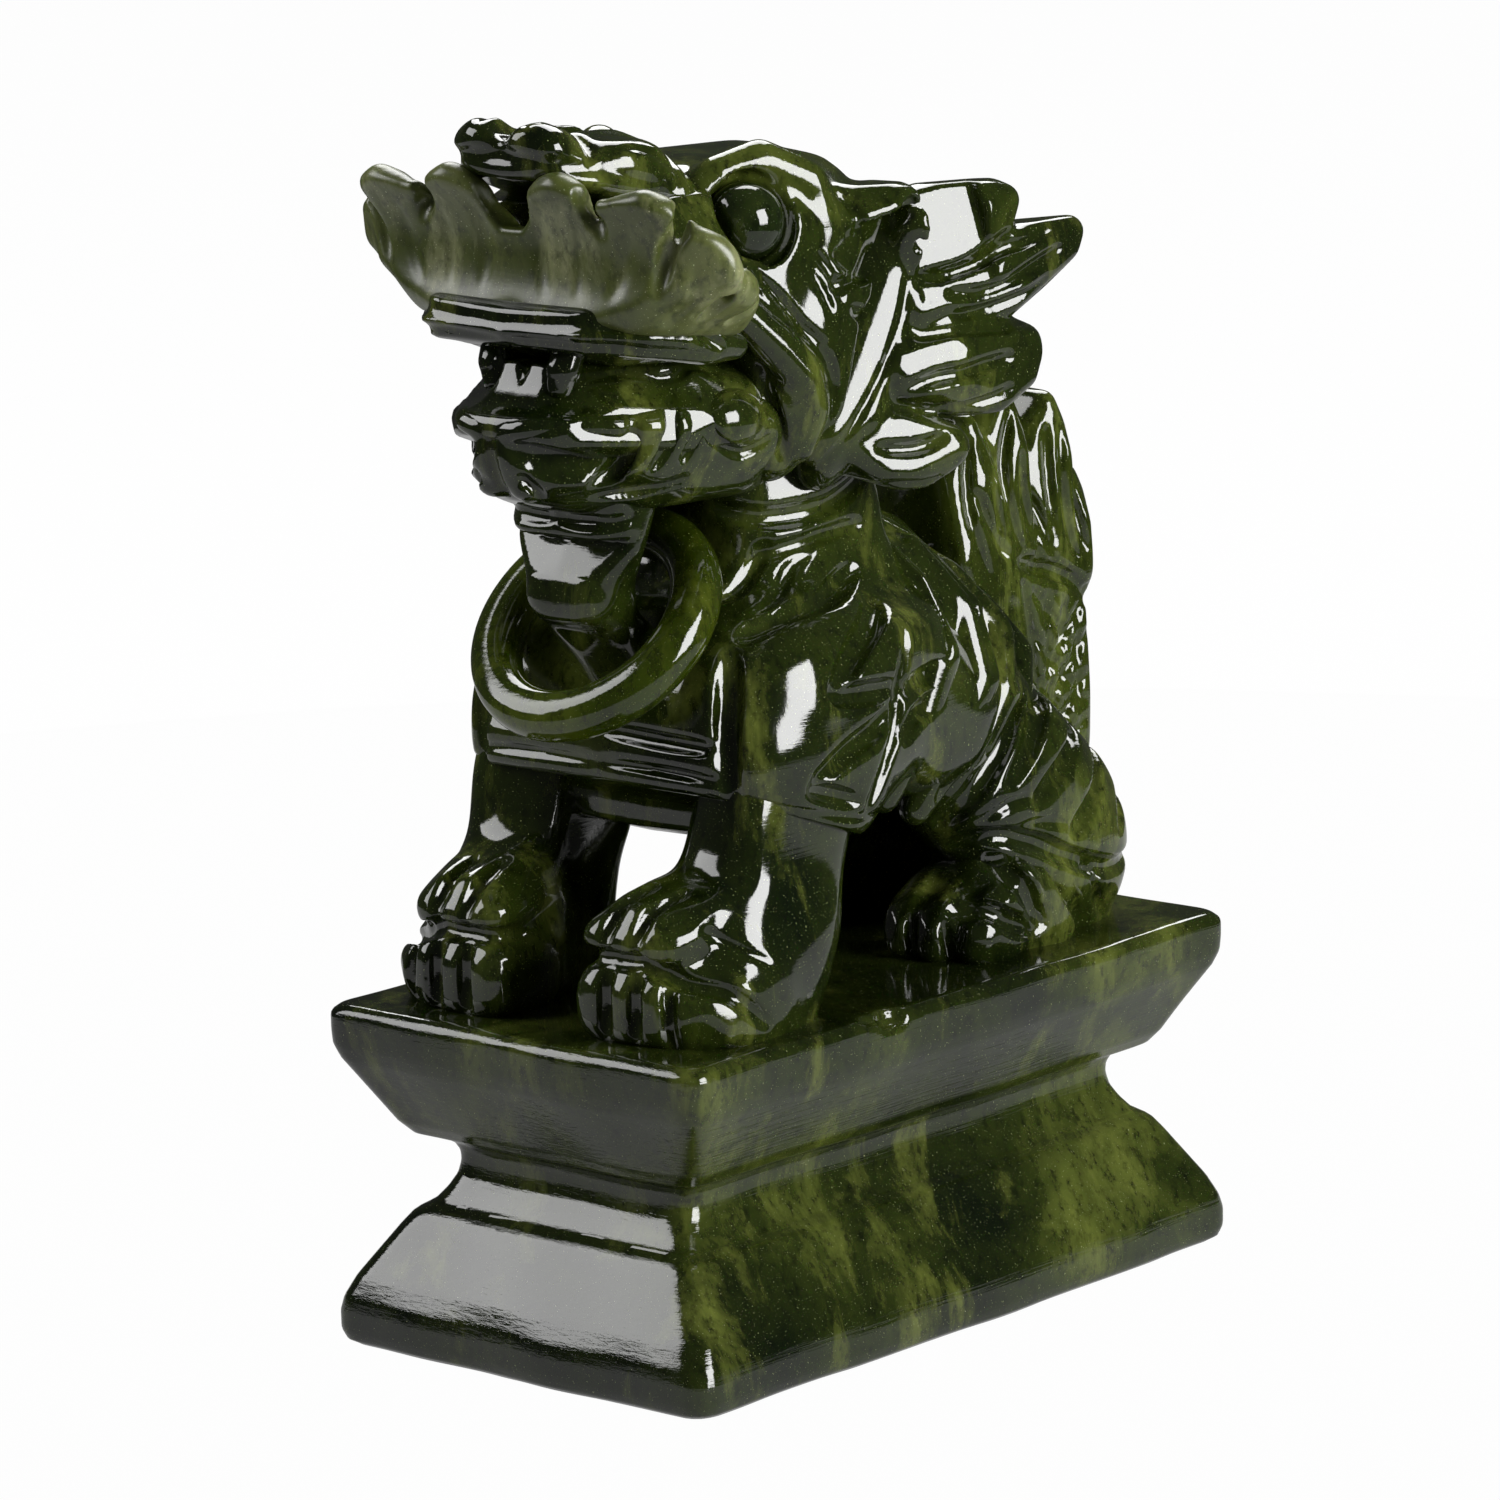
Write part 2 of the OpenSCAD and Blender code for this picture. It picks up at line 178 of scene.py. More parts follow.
class Clay:
    """A box of stone cells holding the distance to the surface, negative inside."""

    def __init__(self, low, high, step=STEP, symmetric=False):
        low = np.array(low, float)
        if symmetric:
            low[0] = 0
        self.step, self.symmetric = step, symmetric
        self.axes = []
        for a, b in zip(low, high):
            self.axes.append((a + step * np.arange(int(math.ceil((b - a) / step)) + 1)).astype(np.float32))
        self.d = np.full([len(a) for a in self.axes], FAR, np.float32)

    def grid(self):
        """The places of the cells, one array along each axis."""
        return [a.reshape(s) for a, s in zip(self.axes, ((-1, 1, 1), (1, -1, 1), (1, 1, -1)))]

    def window(self, shape, pad):
        """The cells near a shape, and their places."""
        cells, places = [], []
        for i, axis in enumerate(self.axes):
            first = np.searchsorted(axis, shape.low[i] - pad)
            last = np.searchsorted(axis, shape.high[i] + pad)
            cells.append(slice(first, last))
            form = [1, 1, 1]
            form[i] = -1
            places.append(axis[first:last].reshape(form))
        return tuple(cells), places

    def add(self, shape, blend=0.6):
        cells, places = self.window(shape, blend + 2)
        if self.d[cells].size:
            self.d[cells] = soft_min(self.d[cells], shape.distance(*places).astype(np.float32), blend)

    def cut(self, shape, blend=0.15):
        cells, places = self.window(shape, blend + 1)
        if self.d[cells].size:
            self.d[cells] = -soft_min(-self.d[cells], shape.distance(*places).astype(np.float32), blend)

    def soften(self, reach):
        """Round the whole form off, as polishing does, over about reach millimetres."""
        cells = reach / self.step
        passes = max(1, int(round(2 * cells * cells)))
        kept = 6
        d = np.clip(self.d, -kept, kept)
        for _ in range(passes):
            for axis in range(3):
                pad = [(0, 0)] * 3
                pad[axis] = (1, 1)
                mode = "reflect" if self.symmetric and axis == 0 else "edge"
                e = np.pad(d, pad, mode=mode)
                near = [slice(None)] * 3
                far = [slice(None)] * 3
                near[axis], far[axis] = slice(0, -2), slice(2, None)
                d = 0.5 * d + 0.25 * (e[tuple(near)] + e[tuple(far)])
        self.d = d.astype(np.float32)

    def sample(self, p):
        """Distance and outward direction at points p, n by 3."""
        low = np.array([a[0] for a in self.axes])
        count = np.array(self.d.shape)
        p = np.where([self.symmetric, False, False], np.abs(p), p)

        def value(q):
            g = np.clip((q - low) / self.step, 0, count - 1.001)
            i = g.astype(int)
            f = g - i
            total = 0
            for corner in np.ndindex(2, 2, 2):
                weight = np.prod(np.where(corner, f, 1 - f), 1)
                total = total + weight * self.d[tuple((i + corner).T)]
            return total

        arm = 0.7
        slope = np.stack([value(p + arm * e) - value(p - arm * e) for e in np.eye(3)], 1)
        return value(p), slope / np.maximum(np.linalg.norm(slope, axis=1, keepdims=True), 1e-6)

    def settle(self, p):
        """The points of the surface near p, and the outward directions there."""
        p = np.array(p, float)
        rounds, longest = 6, 1.5
        for _ in range(rounds):
            d, n = self.sample(p)
            p = p - np.clip(d, -longest, longest)[:, None] * n
        return p, self.sample(p)[1]

    def route(self, points):
        """A smooth curve through points, laid on the surface."""
        points = np.array(points, float)
        knots = np.linspace(0, len(points) - 1, max(9, 7 * (len(points) - 1)))
        return self.settle(np.stack([smooth_curve(points[:, i], knots) for i in range(3)], 1))

    def groove(self, *points, width=1.4, depth=0.7, taper=0.6, blend=0.12):
        """Cut a line with a small wheel: deepest in the middle, running out to nothing at the ends."""
        p, n = self.route(points)
        radius = (width * width / 4 + depth * depth) / (2 * depth)
        t = np.linspace(0, 1, len(p))
        sunk = depth * np.sin(math.pi * t) ** taper
        p = p + n * (radius - sunk)[:, None]
        self.cut(Strand(np.column_stack([p, np.full(len(p), radius)])), blend)

    def ridge(self, *points, radius=1.2, height=0.5, taper=0.6, blend=0.5):
        """Leave a raised cord standing along a curve on the surface."""
        p, n = self.route(points)
        t = np.linspace(0, 1, len(p))
        proud = height * np.sin(math.pi * t) ** taper
        p = p + n * (proud - radius)[:, None]
        self.add(Strand(np.column_stack([p, np.full(len(p), radius)])), blend)

    def shave(self, point, normal, low=(-60, -60, -10), high=(60, 60, 140), blend=0.3):
        """Grind off everything beyond a plane."""
        self.cut(Beyond(point, normal, low, high), blend)

    def mesh(self, name):
        """Turn the stone into a closed mesh, both halves of it when it is symmetric."""
        d, low = self.d, [float(a[0]) for a in self.axes]
        if self.symmetric:
            d = np.concatenate([d[:0:-1], d], 0)
            low[0] = -float(self.axes[0][-1])
        return make_mesh(name, d, low, self.step)


def smooth_curve(values, at):
    """A smooth curve through evenly spaced values."""
    last = len(values) - 1
    i = np.clip(np.floor(at).astype(int), 0, last - 1)
    t = at - i
    p0, p1 = values[np.maximum(i - 1, 0)], values[i]
    p2, p3 = values[i + 1], values[np.minimum(i + 2, last)]
    return p1 + 0.5 * t * (p2 - p0 + t * (2 * p0 - 5 * p1 + 4 * p2 - p3 + t * (3 * (p1 - p2) + p3 - p0)))


def make_mesh(name, d, low, step):
    rim = 2 * step
    d = np.pad(np.clip(d, -rim, rim), 1, constant_values=rim).astype(np.float32)
    grid = openvdb.FloatGrid(rim)
    grid.copyFromArray(np.ascontiguousarray(d))
    points, quads = grid.convertToQuads(0.0)
    points = (points - 1) * step + np.array(low)
    mesh = bpy.data.meshes.new(name)
    mesh.vertices.add(len(points))
    mesh.loops.add(4 * len(quads))
    mesh.polygons.add(len(quads))
    mesh.vertices.foreach_set("co", (points * MM).astype(np.float32).ravel())
    mesh.loops.foreach_set("vertex_index", np.ascontiguousarray(quads[:, ::-1]).astype(np.int32).ravel())
    mesh.polygons.foreach_set("loop_start", np.arange(0, 4 * len(quads), 4, dtype=np.int32))
    mesh.update(calc_edges=True)
    mesh.validate()
    mesh.polygons.foreach_set("use_smooth", np.ones(len(mesh.polygons), bool))
    return mesh


def piece(name, mesh, slot, material, *nodes, body="stone"):
    """Put a carved mesh in the scene in place of its plain CAD nodes."""
    ob = bpy.data.objects.new(name, mesh)
    bpy.context.scene.collection.objects.link(ob)
    ob.data.materials.append(material)
    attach(ob, body)
    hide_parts(*nodes)


def mirrored(mesh, name):
    """The same carving for the other side."""
    other = mesh.copy()
    other.name = name
    other.transform(Matrix.Scale(-1, 4, (1, 0, 0)))
    other.flip_normals()
    return other

# ------------------------------------------------------------------ places taken from the frame

plate_top = float(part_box("pedestal_plate")[1][2]) / MM
foot_top = float(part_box("pedestal_foot")[1][2]) / MM
waist_top = float(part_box("pedestal_waist")[1][2]) / MM
half_w, half_l = (float(v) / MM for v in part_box("pedestal_foot")[1][:2])

# ------------------------------------------------------------------ pedestal


def moulding(profile, z):
    """Inset of a side profile at each height, by straight lines between its points."""
    heights = [p[1] for p in profile]
    return np.interp(z, heights, [p[0] for p in profile])


# the pedestal's side from the table up: (inset, height)
SIDE = [(1.4, 0), (0.4, 0.5), (0, 1.6), (0, 3.4), (0.3, 4.8), (1.2, 6.8), (4.3, 11.9), (5.2, 13.2),
        (6.6, 14.1), (7.5, 15.3), (8.2, 16.6), (8.5, 18), (8.4, 19), (7.9, 20), (6.6, 20.5), (5.2, 21),
        (4.2, 22.2), (1.5, 27), (0.6, 28.6), (0.1, 30), (0, 31.5), (0, 33), (0.3, 33.7), (1.2, 34)]


CHIP = np.array((half_w - 0.3, -12, plate_top - 0.5))


def hand_ground(along, z, slow, start, quick, climb):
    """How far a hand-ground face strays from flat: a long wave and a short one that climbs."""
    return 0.22 * np.sin(slow * along + start) + 0.12 * np.sin(quick * along + climb * z) - 0.16


def pedestal_part(name, z0, z1, node):
    """One storey of the pedestal, with softened corners and slightly uneven hand-ground faces."""
    step = 0.4
    clay = Clay((-half_w - 1, -half_l - 1, z0 - 1), (half_w + 1, half_l + 1, z1 + 1), step)
    x, y, z = clay.grid()
    inset = moulding(SIDE, z)
    dx = np.abs(x) - (half_w - inset + hand_ground(y, z, 0.09, 1.0, 0.31, 0.23))
    dy = np.abs(y) - (half_l - inset + hand_ground(x, z, 0.13, 0.5, 0.37, 0.19))
    corner = 2.6
    sides = -soft_min(-dx, -dy, corner)
    tilt = 0.87                         # the faces slope, so the level distance is a little too long
    top = z - z1 + 0.05 * np.sin(0.2 * x + 0.15 * y) if z1 >= plate_top else z - z1
    d = np.maximum(sides * tilt, np.maximum(top, z0 - z))
    clay.d = np.broadcast_to(d, clay.d.shape).astype(np.float32).copy()
    if z1 >= plate_top:
        clay.cut(Ball(CHIP, (1.7, 2.2, 1.1)), 0.25)
        clay.cut(Ball(CHIP + np.array((-0.4, -2.6, 0.3)), (1.2, 1.6, 0.6)), 0.3)
    piece(name, clay.mesh(name), "pedestal_jade", block_jade, node)


# ------------------------------------------------------------------ body


def carve_torso():
    """Chest, belly and back with the neck: the hem, the sleeve creases and the feathered shoulder."""
    clay = Clay((0, -34, 44), (25, 36, 90), symmetric=True)
    clay.add(Span([[12.6, -20, 63.4, 6.4], [13.6, -12, 62, 6.6], [12.8, -19.8, 60, 6.4],
            [12.8, -6, 57, 6.4]], True), 0)
    clay.add(Span([[10, -17, 66, 7], [13, -10, 66, 7], [9, 8, 62, 7], [11, 8, 57, 6]], True), 3)
    clay.add(Span([[9, 6, 58, 7.4], [8, 22, 54, 6.6], [10, 8, 54, 5]], True), 3)
    clay.add(Span([[4.6, -10, 87, 4.6], [5.6, -2, 87, 5], [5.4, -8.6, 74, 5], [6.4, 0, 74, 5.4]], True), 4)
    clay.add(Span([[5, -12, 68, 6], [6, 4, 70, 5]], True), 5)
    clay.add(Span([[12.6, -19, 58, 7], [14, -19, 55, 6], [14.6, -12, 54, 5.6], [13, -12, 58, 7]], True), 3)
    clay.add(Ball([15.2, -16.6, 65.4], [5.2, 5.4, 6.2]), 2.4)
    clay.soften(1.3)
    clay.shave((0, -27.4, 56.6), (0, -0.37, -1), high=(60, -4, 140), blend=0.6)
    clay.shave((0, 0, 50.6), (0, 0, -1), low=(-60, -6, -10), blend=1)
    clay.add(Span([[0, -18.6, 54.8, 2.6], [8, -18.6, 53, 2.6], [8, -11, 52.6, 2.6], [0, -11, 54.4, 2.6]],
            True), 1.4)
    clay.groove([0, -28.5, 61.6], [8, -28, 61.2], [14.6, -26.6, 61], width=1.8, depth=0.9)
    clay.groove([0, -28.5, 58.2], [10, -28, 58.2], [16.4, -26.4, 57.6], width=1.2, depth=0.5)
    clay.groove([16, -27, 56.4], [19.8, -22, 54.8], [21.4, -14, 52.8], [19, -6, 51.4], width=1.2, depth=0.5)
    clay.groove([14, -23.6, 70.4], [15.4, -25.6, 66.4], [15.6, -26.2, 62], [16.2, -26.2, 55.4], width=3,
            depth=1.7, taper=0.8)
    clay.groove([14, -21.4, 71], [14.6, -18, 72], [15, -11.4, 73], [12.4, -3, 74.4], width=2.8, depth=1.6)
    clay.groove([13.4, -20, 74.4], [13, -14, 76], [12, -8, 77], width=1.6, depth=0.6)
    clay.groove([5, -16, 81.4], [9.6, -12, 80.4], [11.4, -5, 81], [11, 2, 84], width=2.6, depth=1)
    clay.groove([9, -14, 76.6], [11.4, -8, 78], [12, -1, 78.4], width=2, depth=0.8)
    clay.groove([6, -21, 72.6], [9.4, -17.4, 75.4], [10.6, -13, 78], width=2, depth=0.8)
    clay.groove([15.6, -3.6, 72], [19, -9, 70], [19.6, -13.4, 67], [19.6, -15.6, 65.4], width=3, depth=1.8)
    clay.groove([20, -16, 65], [20.6, -12, 64.5], [20, -5.6, 64], width=2.6, depth=1.5)
    clay.groove([20.4, -19, 57.2], [20.6, -14, 59.4], [20.6, -9, 61], [20, -6, 62.8], width=2.6, depth=1.5)
    clay.groove([20.4, -19.4, 56.6], [21, -16.4, 55.4], [21, -12.4, 54], width=2.2, depth=1.2)
    clay.groove([19, -3.6, 70], [19.6, -5, 64], [19.8, -6, 60], [20.2, -9, 56], [20, -11, 53], width=2.2,
            depth=1.1)
    clay.groove([19.4, -4, 63.4], [18.4, 1, 64], [18, 4.4, 63.6], width=2.6, depth=1.5)
    clay.groove([19.4, -4.4, 59], [19, -1.4, 60.6], [18, 3, 61.6], width=2.4, depth=1.4)
    clay.soften(0.15)
    return clay


def carve_foreleg():
    """A straight foreleg on a broad paw, whose toes are parted by wheel cuts."""
    clay = Clay((2, -41, plate_top - 0.6), (25, -2, 64))
    clay.add(Span([[12, -19.6, 58, 4], [15, -20.6, 58, 4.2], [15, -12.6, 58, 4.2], [12.4, -12.6, 58, 4],
            [11.2, -22.6, 48, 3.6], [15, -22.6, 47.6, 3.8], [15.2, -14.6, 47, 3.6],
            [12.6, -13.8, 47, 3.2]]), 0)
    clay.add(Span([[10.6, -24.4, 43, 3.6], [15.8, -24.6, 42.6, 3.8], [15.4, -15, 42, 3.6],
            [12.6, -15, 42, 3.2], [10.4, -20, 36, 4], [17, -22.4, 36, 3.6], [14.8, -17.4, 36, 3.6],
            [12.4, -17, 36, 4]]), 4)
    clay.add(Span([[10, -27, 44.6, 3], [14.6, -26, 45, 3.2], [10, -27, 36, 4], [16.6, -27, 36, 4],
            [16.6, -27, 40, 4]]), 3.4)
    clay.soften(1.4)
    clay.add(Span([[6.8, -34.6, 38.8, 2.2], [14.4, -34.4, 38.8, 2.2], [18.2, -31.2, 37.8, 2.4],
            [6.8, -34.6, 36, 2.3], [14.4, -34.4, 36, 2.3], [18.4, -31, 36, 2.6], [8.4, -27, 40, 3],
            [17, -25.6, 39.6, 3.4], [8.4, -27, 36, 3], [17.2, -25.6, 36, 3.4]]), 1.2)
    clay.add(Span([[7.2, -34.2, 43.5, 2.2], [14.4, -33.9, 43.5, 2.2], [8.4, -30, 44.4, 2.4],
            [14.8, -29.6, 44.6, 2.4], [9.8, -25, 45.6, 2.4], [14.6, -24.4, 46, 2.6]]), 1.2)
    clay.soften(0.5)
    for x in (8.9, 12.6):
        clay.groove([x + 0.6, -29.6, 48], [x + 0.1, -33.6, 46.8], [x, -36.4, 43.4], width=1.7, depth=1.2)
        clay.groove([x, -37, 41.2], [x, -37, 38], [x, -36.8, 34.2], width=1.7, depth=1.3)
    clay.groove([16.1, -35.8, 40.6], [16.3, -36, 37.6], [16.3, -35.6, 34.2], width=1.6, depth=1.1)
    clay.groove([4, -31, 41.8], [5.6, -35.4, 41.8], [9, -37, 41.7], [13, -37, 41.5], [16.6, -34.8, 41],
            [19.8, -30.6, 38.4], [21, -27, 35.4], width=1.9, depth=1.4)
    clay.groove([17, -31.6, 45], [18.6, -29, 43], [19.4, -26, 40.6], width=1.2, depth=0.4)
    clay.soften(0.22)
    return clay


def carve_haunch():
    """The folded hind leg, with fur lines that sweep down to the paw."""
    clay = Clay((2, 0, plate_top - 0.6), (24, 42, 66))
    clay.add(Span([[11, 19, 53, 7.4], [11.6, 15, 51, 6.6], [9.6, 30, 43, 7.4], [11.4, 22, 44, 7.4],
            [11.6, 10, 53, 5]]), 0)
    clay.add(Span([[9.4, 32, 39, 6.2], [11.4, 25, 40, 6.4], [9.4, 33, 36, 4.8]]), 3)
    clay.soften(1.4)
    clay.groove([13.4, 7, 46], [16.6, 9.6, 51], [17.4, 14, 56], [14.6, 19, 60.4], width=2.6, depth=1.5)
    clay.groove([16.6, 9.4, 47.2], [18.6, 12.6, 49.2], [19, 17, 49.4], width=1.4, depth=0.5)
    clay.groove([16, 12, 46.4], [18.4, 17, 46.6], [18.4, 22, 45.6], width=1.4, depth=0.45)
    clay.groove([12.4, 10, 44.2], [16.6, 11.6, 46], [18.6, 16.6, 44.6], [18.4, 22, 42.2], [17, 29, 40],
            [12, 36.4, 40], width=2.4, depth=1.3)
    clay.groove([8, 27, 61], [13.4, 22.6, 58.6], [17, 17.6, 55], [18, 13, 51], width=2.7, depth=1.5)
    clay.groove([8, 31, 57.4], [13.4, 27.4, 55.4], [17.4, 22, 52], [18.8, 16.6, 48.6], width=2.7, depth=1.5)
    clay.groove([9, 34, 53], [13.4, 31.4, 51], [17, 27, 47.6], [18.6, 22.4, 44.6], width=2.7, depth=1.5)
    clay.groove([9.6, 37, 48], [13.6, 34.6, 46], [16.4, 31, 43], width=1.8, depth=0.8)
    clay.groove([17, 25, 40.6], [16.8, 27.4, 37.6], [15.6, 30.4, 34.6], width=1.6, depth=0.9)
    clay.soften(0.15)
    return clay


def carve_hind_paw():
    """The flat hind paw with three toes."""
    clay = Clay((4, 1, plate_top - 0.6), (24, 34, 48))
    clay.add(Span([[12.4, 25, 38.6, 4.4], [14.4, 14, 39.4, 4.4], [11, 13, 38, 4.4], [14, 20, 36, 5],
            [11, 14, 36, 4.4]]), 0)
    clay.soften(0.8)
    for x, y in ((9.8, 6.6), (13.4, 6.8), (17, 8.4)):
        clay.add(Span([[x - 0.8, y + 1, 38, 1.6], [x + 0.8, y + 1, 38, 1.6], [x, y + 0.4, 35.6, 2],
                [x + 0.2, 15, 40.6, 2.4], [x, 14, 36, 2.4]]), 0.4)
    clay.soften(0.3)
    clay.groove([15.6, 12.6, 44], [19, 13.4, 41.4], [19.4, 17.4, 36], width=2.8, depth=1.6)
    clay.groove([18, 19.4, 42], [18.6, 22, 38.4], [17, 25, 34.6], width=2.4, depth=1.4)
    clay.groove([15.6, 6.8, 39.8], [18, 11, 38], [19, 16.6, 35.6], width=2.2, depth=1.3)
    clay.groove([11.6, 5, 39], [11.6, 5.4, 36.6], [11.6, 6, 34.4], width=1.2, depth=0.8)
    clay.groove([15.2, 6.4, 38.4], [15.4, 6.4, 36.4], [15.4, 7, 34.4], width=1.2, depth=0.8)
    clay.soften(0.15)
    return clay


def carve_back_mane():
    """Locks of the mane that roll down each side of the back in long S-curves."""
    clay = Clay((0, -6, 46), (21, 34, 84), symmetric=True)
    clay.add(Span([[0, 3, 75.4, 3.4], [4, 3, 74, 4], [0, 22, 64, 4], [6, 20, 62, 5], [9, 6, 66, 6]]), 0)
    clay.soften(0.8)
    locks = ([[3, -1.4, 80, 1.4], [8, 1.6, 76.4, 2.4], [12.6, 4, 71, 2.8], [15.6, 4.6, 65, 2.8],
            [15.6, 1.4, 58, 2.4], [14.6, -2, 52, 1.6]], [[3, 6, 77.4, 1.8], [8.4, 9, 73.4, 2.6],
            [12.6, 12, 67.6, 2.8], [14.8, 11.6, 61.6, 2.8], [15, 7, 54.6, 2.4], [13.6, 4, 49.6, 1.6]],
            [[3, 13, 73.4, 2], [8, 16, 69.6, 2.4], [12, 18.4, 64.4, 2.6], [14.4, 16, 59.4, 2.4],
            [15.2, 12, 55, 1.8]], [[3, 18.6, 70, 2], [7, 21.6, 66, 2.2], [10.4, 23.4, 61.4, 2.2],
            [13, 20.6, 58, 1.8]])
    for lock in locks:
        clay.add(Strand(lock), 0.25)
    clay.soften(0.3)
    for stroke in (([5, 0.4, 79.6], [11, 2.6, 75.6], [15.6, 4, 70], [18, 4, 65]), ([4.6, 8, 78],
            [10, 11, 74], [14.6, 13, 68], [17.4, 12, 62]), ([17.8, 7, 61.4], [17.6, 4, 56.6],
            [16.4, 0.6, 52.4]), ([17.4, 11, 59], [17.6, 8, 55], [16, 5, 50.4]), ([4.4, 15.4, 74],
            [9.4, 18, 70], [13.6, 19.6, 64.6], [16, 17, 60])):
        clay.groove(*stroke, width=2.2, depth=1.2)
    clay.soften(0.15)
    return clay


def carve_tail():
    """The upright tail: flame-like tips, hair lines below them and cross-hatched scales at the back."""
    clay = Clay((0, 16, plate_top - 0.6), (11, 43, 90), symmetric=True)
    clay.add(Span([[4.6, 38.6, 48, 2.4], [4.6, 38.4, 66, 2.4], [4.6, 24, 67, 2.4], [4.6, 30, 52, 2.6]],
            True), 0)
    clay.add(Span([[4, 36, 40, 3.4], [4, 30, 52, 2.6], [4, 37.4, 50, 3]], True), 1.5)
    clay.add(Span([[3.8, 35.8, plate_top + 1, 3.6], [3.8, 31, plate_top + 1, 3.6], [4, 34, 42, 3.4]], True),
            1.5)
    clay.soften(0.6)
    for y, top, lean in ((23.2, 83.6, 0.6), (28.6, 85.6, -0.4), (35.6, 84.2, -0.6), (38.8, 76.4, -0.8)):
        clay.add(Span([[4.6, y + 0.6, top, 1.3], [4.4, y - 1.4, top - 7, 1.9],
                [4.6, y + 2 + lean, top - 8, 2.1], [4.6, y - 1.2, 68, 2.2], [4.8, y + 1.4 + lean, 66, 2.4]],
                True), 0.3)
    clay.soften(0.25)
    hairs = (([7, 22.4, 83], [7, 21.8, 79.4], [7, 22, 74.4], [7, 24.4, 68]), ([7, 24, 82.4], [7, 25.4, 78],
            [7, 26.8, 70.4]), ([7, 22.6, 77.6], [7, 24.6, 74], [7, 27.2, 69.8]), ([7, 29, 85.4],
            [7, 27.4, 80.4], [7, 27.8, 75], [7, 29.6, 69.8]), ([7, 29.8, 80.6], [7, 30, 76], [7, 31.4, 71]),
            ([7, 32, 82], [7, 32.4, 76], [7, 33.4, 72], [7, 35, 68.4]), ([7, 34.4, 82.6], [7, 34.4, 76],
            [7, 35, 70]), ([7, 36.6, 83.4], [7, 36.2, 77], [7, 37.2, 71], [7, 38.6, 68]), ([7, 38.6, 76.4],
            [7, 39, 72], [7, 39.8, 68.6]))
    for hair in hairs:
        clay.groove(*hair, width=1.2, depth=0.75)
    clay.groove([7, 29, 69.4], [7.4, 32, 68.6], [7.4, 37, 66.6], [7, 41, 63.6], width=1.8, depth=1.1)
    clay.groove([7.4, 29.4, 67.6], [7.4, 30.8, 62.6], [7.4, 31.4, 57.4], [7, 33, 53], width=1.4, depth=0.8)
    for i in range(4):
        y, z = 31 + 0.4 * i, 66.4 - 4.6 * i
        clay.groove([7.4, y, z], [7.4, y + 3.6, z - 3.6], [7.2, y + 8, z - 8.4], width=1.1, depth=0.6)
        clay.groove([7.2, 41 - 0.6 * i, 65.4 - 4.4 * i], [7.4, 37.4 - 0.6 * i, 62 - 4.4 * i],
                [7.4, 32.6, 56.6 - 3.6 * i], width=1.1, depth=0.6)
    for i in range(3):
        clay.groove([7.4, 33.4 + 2.6 * i, 66 - 1.2 * i], [7.4, 33.6 + 2.4 * i, 60], [7.2, 34.4 + 2 * i, 52],
                width=0.9, depth=0.4)
    for z in range(50, 80, 6):
        clay.groove([-3.4, 41.4, z + 4], [0, 41.4, z], [3.4, 41.4, z + 4], width=1.2, depth=0.6)
    clay.soften(0.12)
    return clay


# ------------------------------------------------------------------ head

EYE = (11.2, -16.6, 109.5)
EYE_OUT = (0.74, -0.6, 0.24)


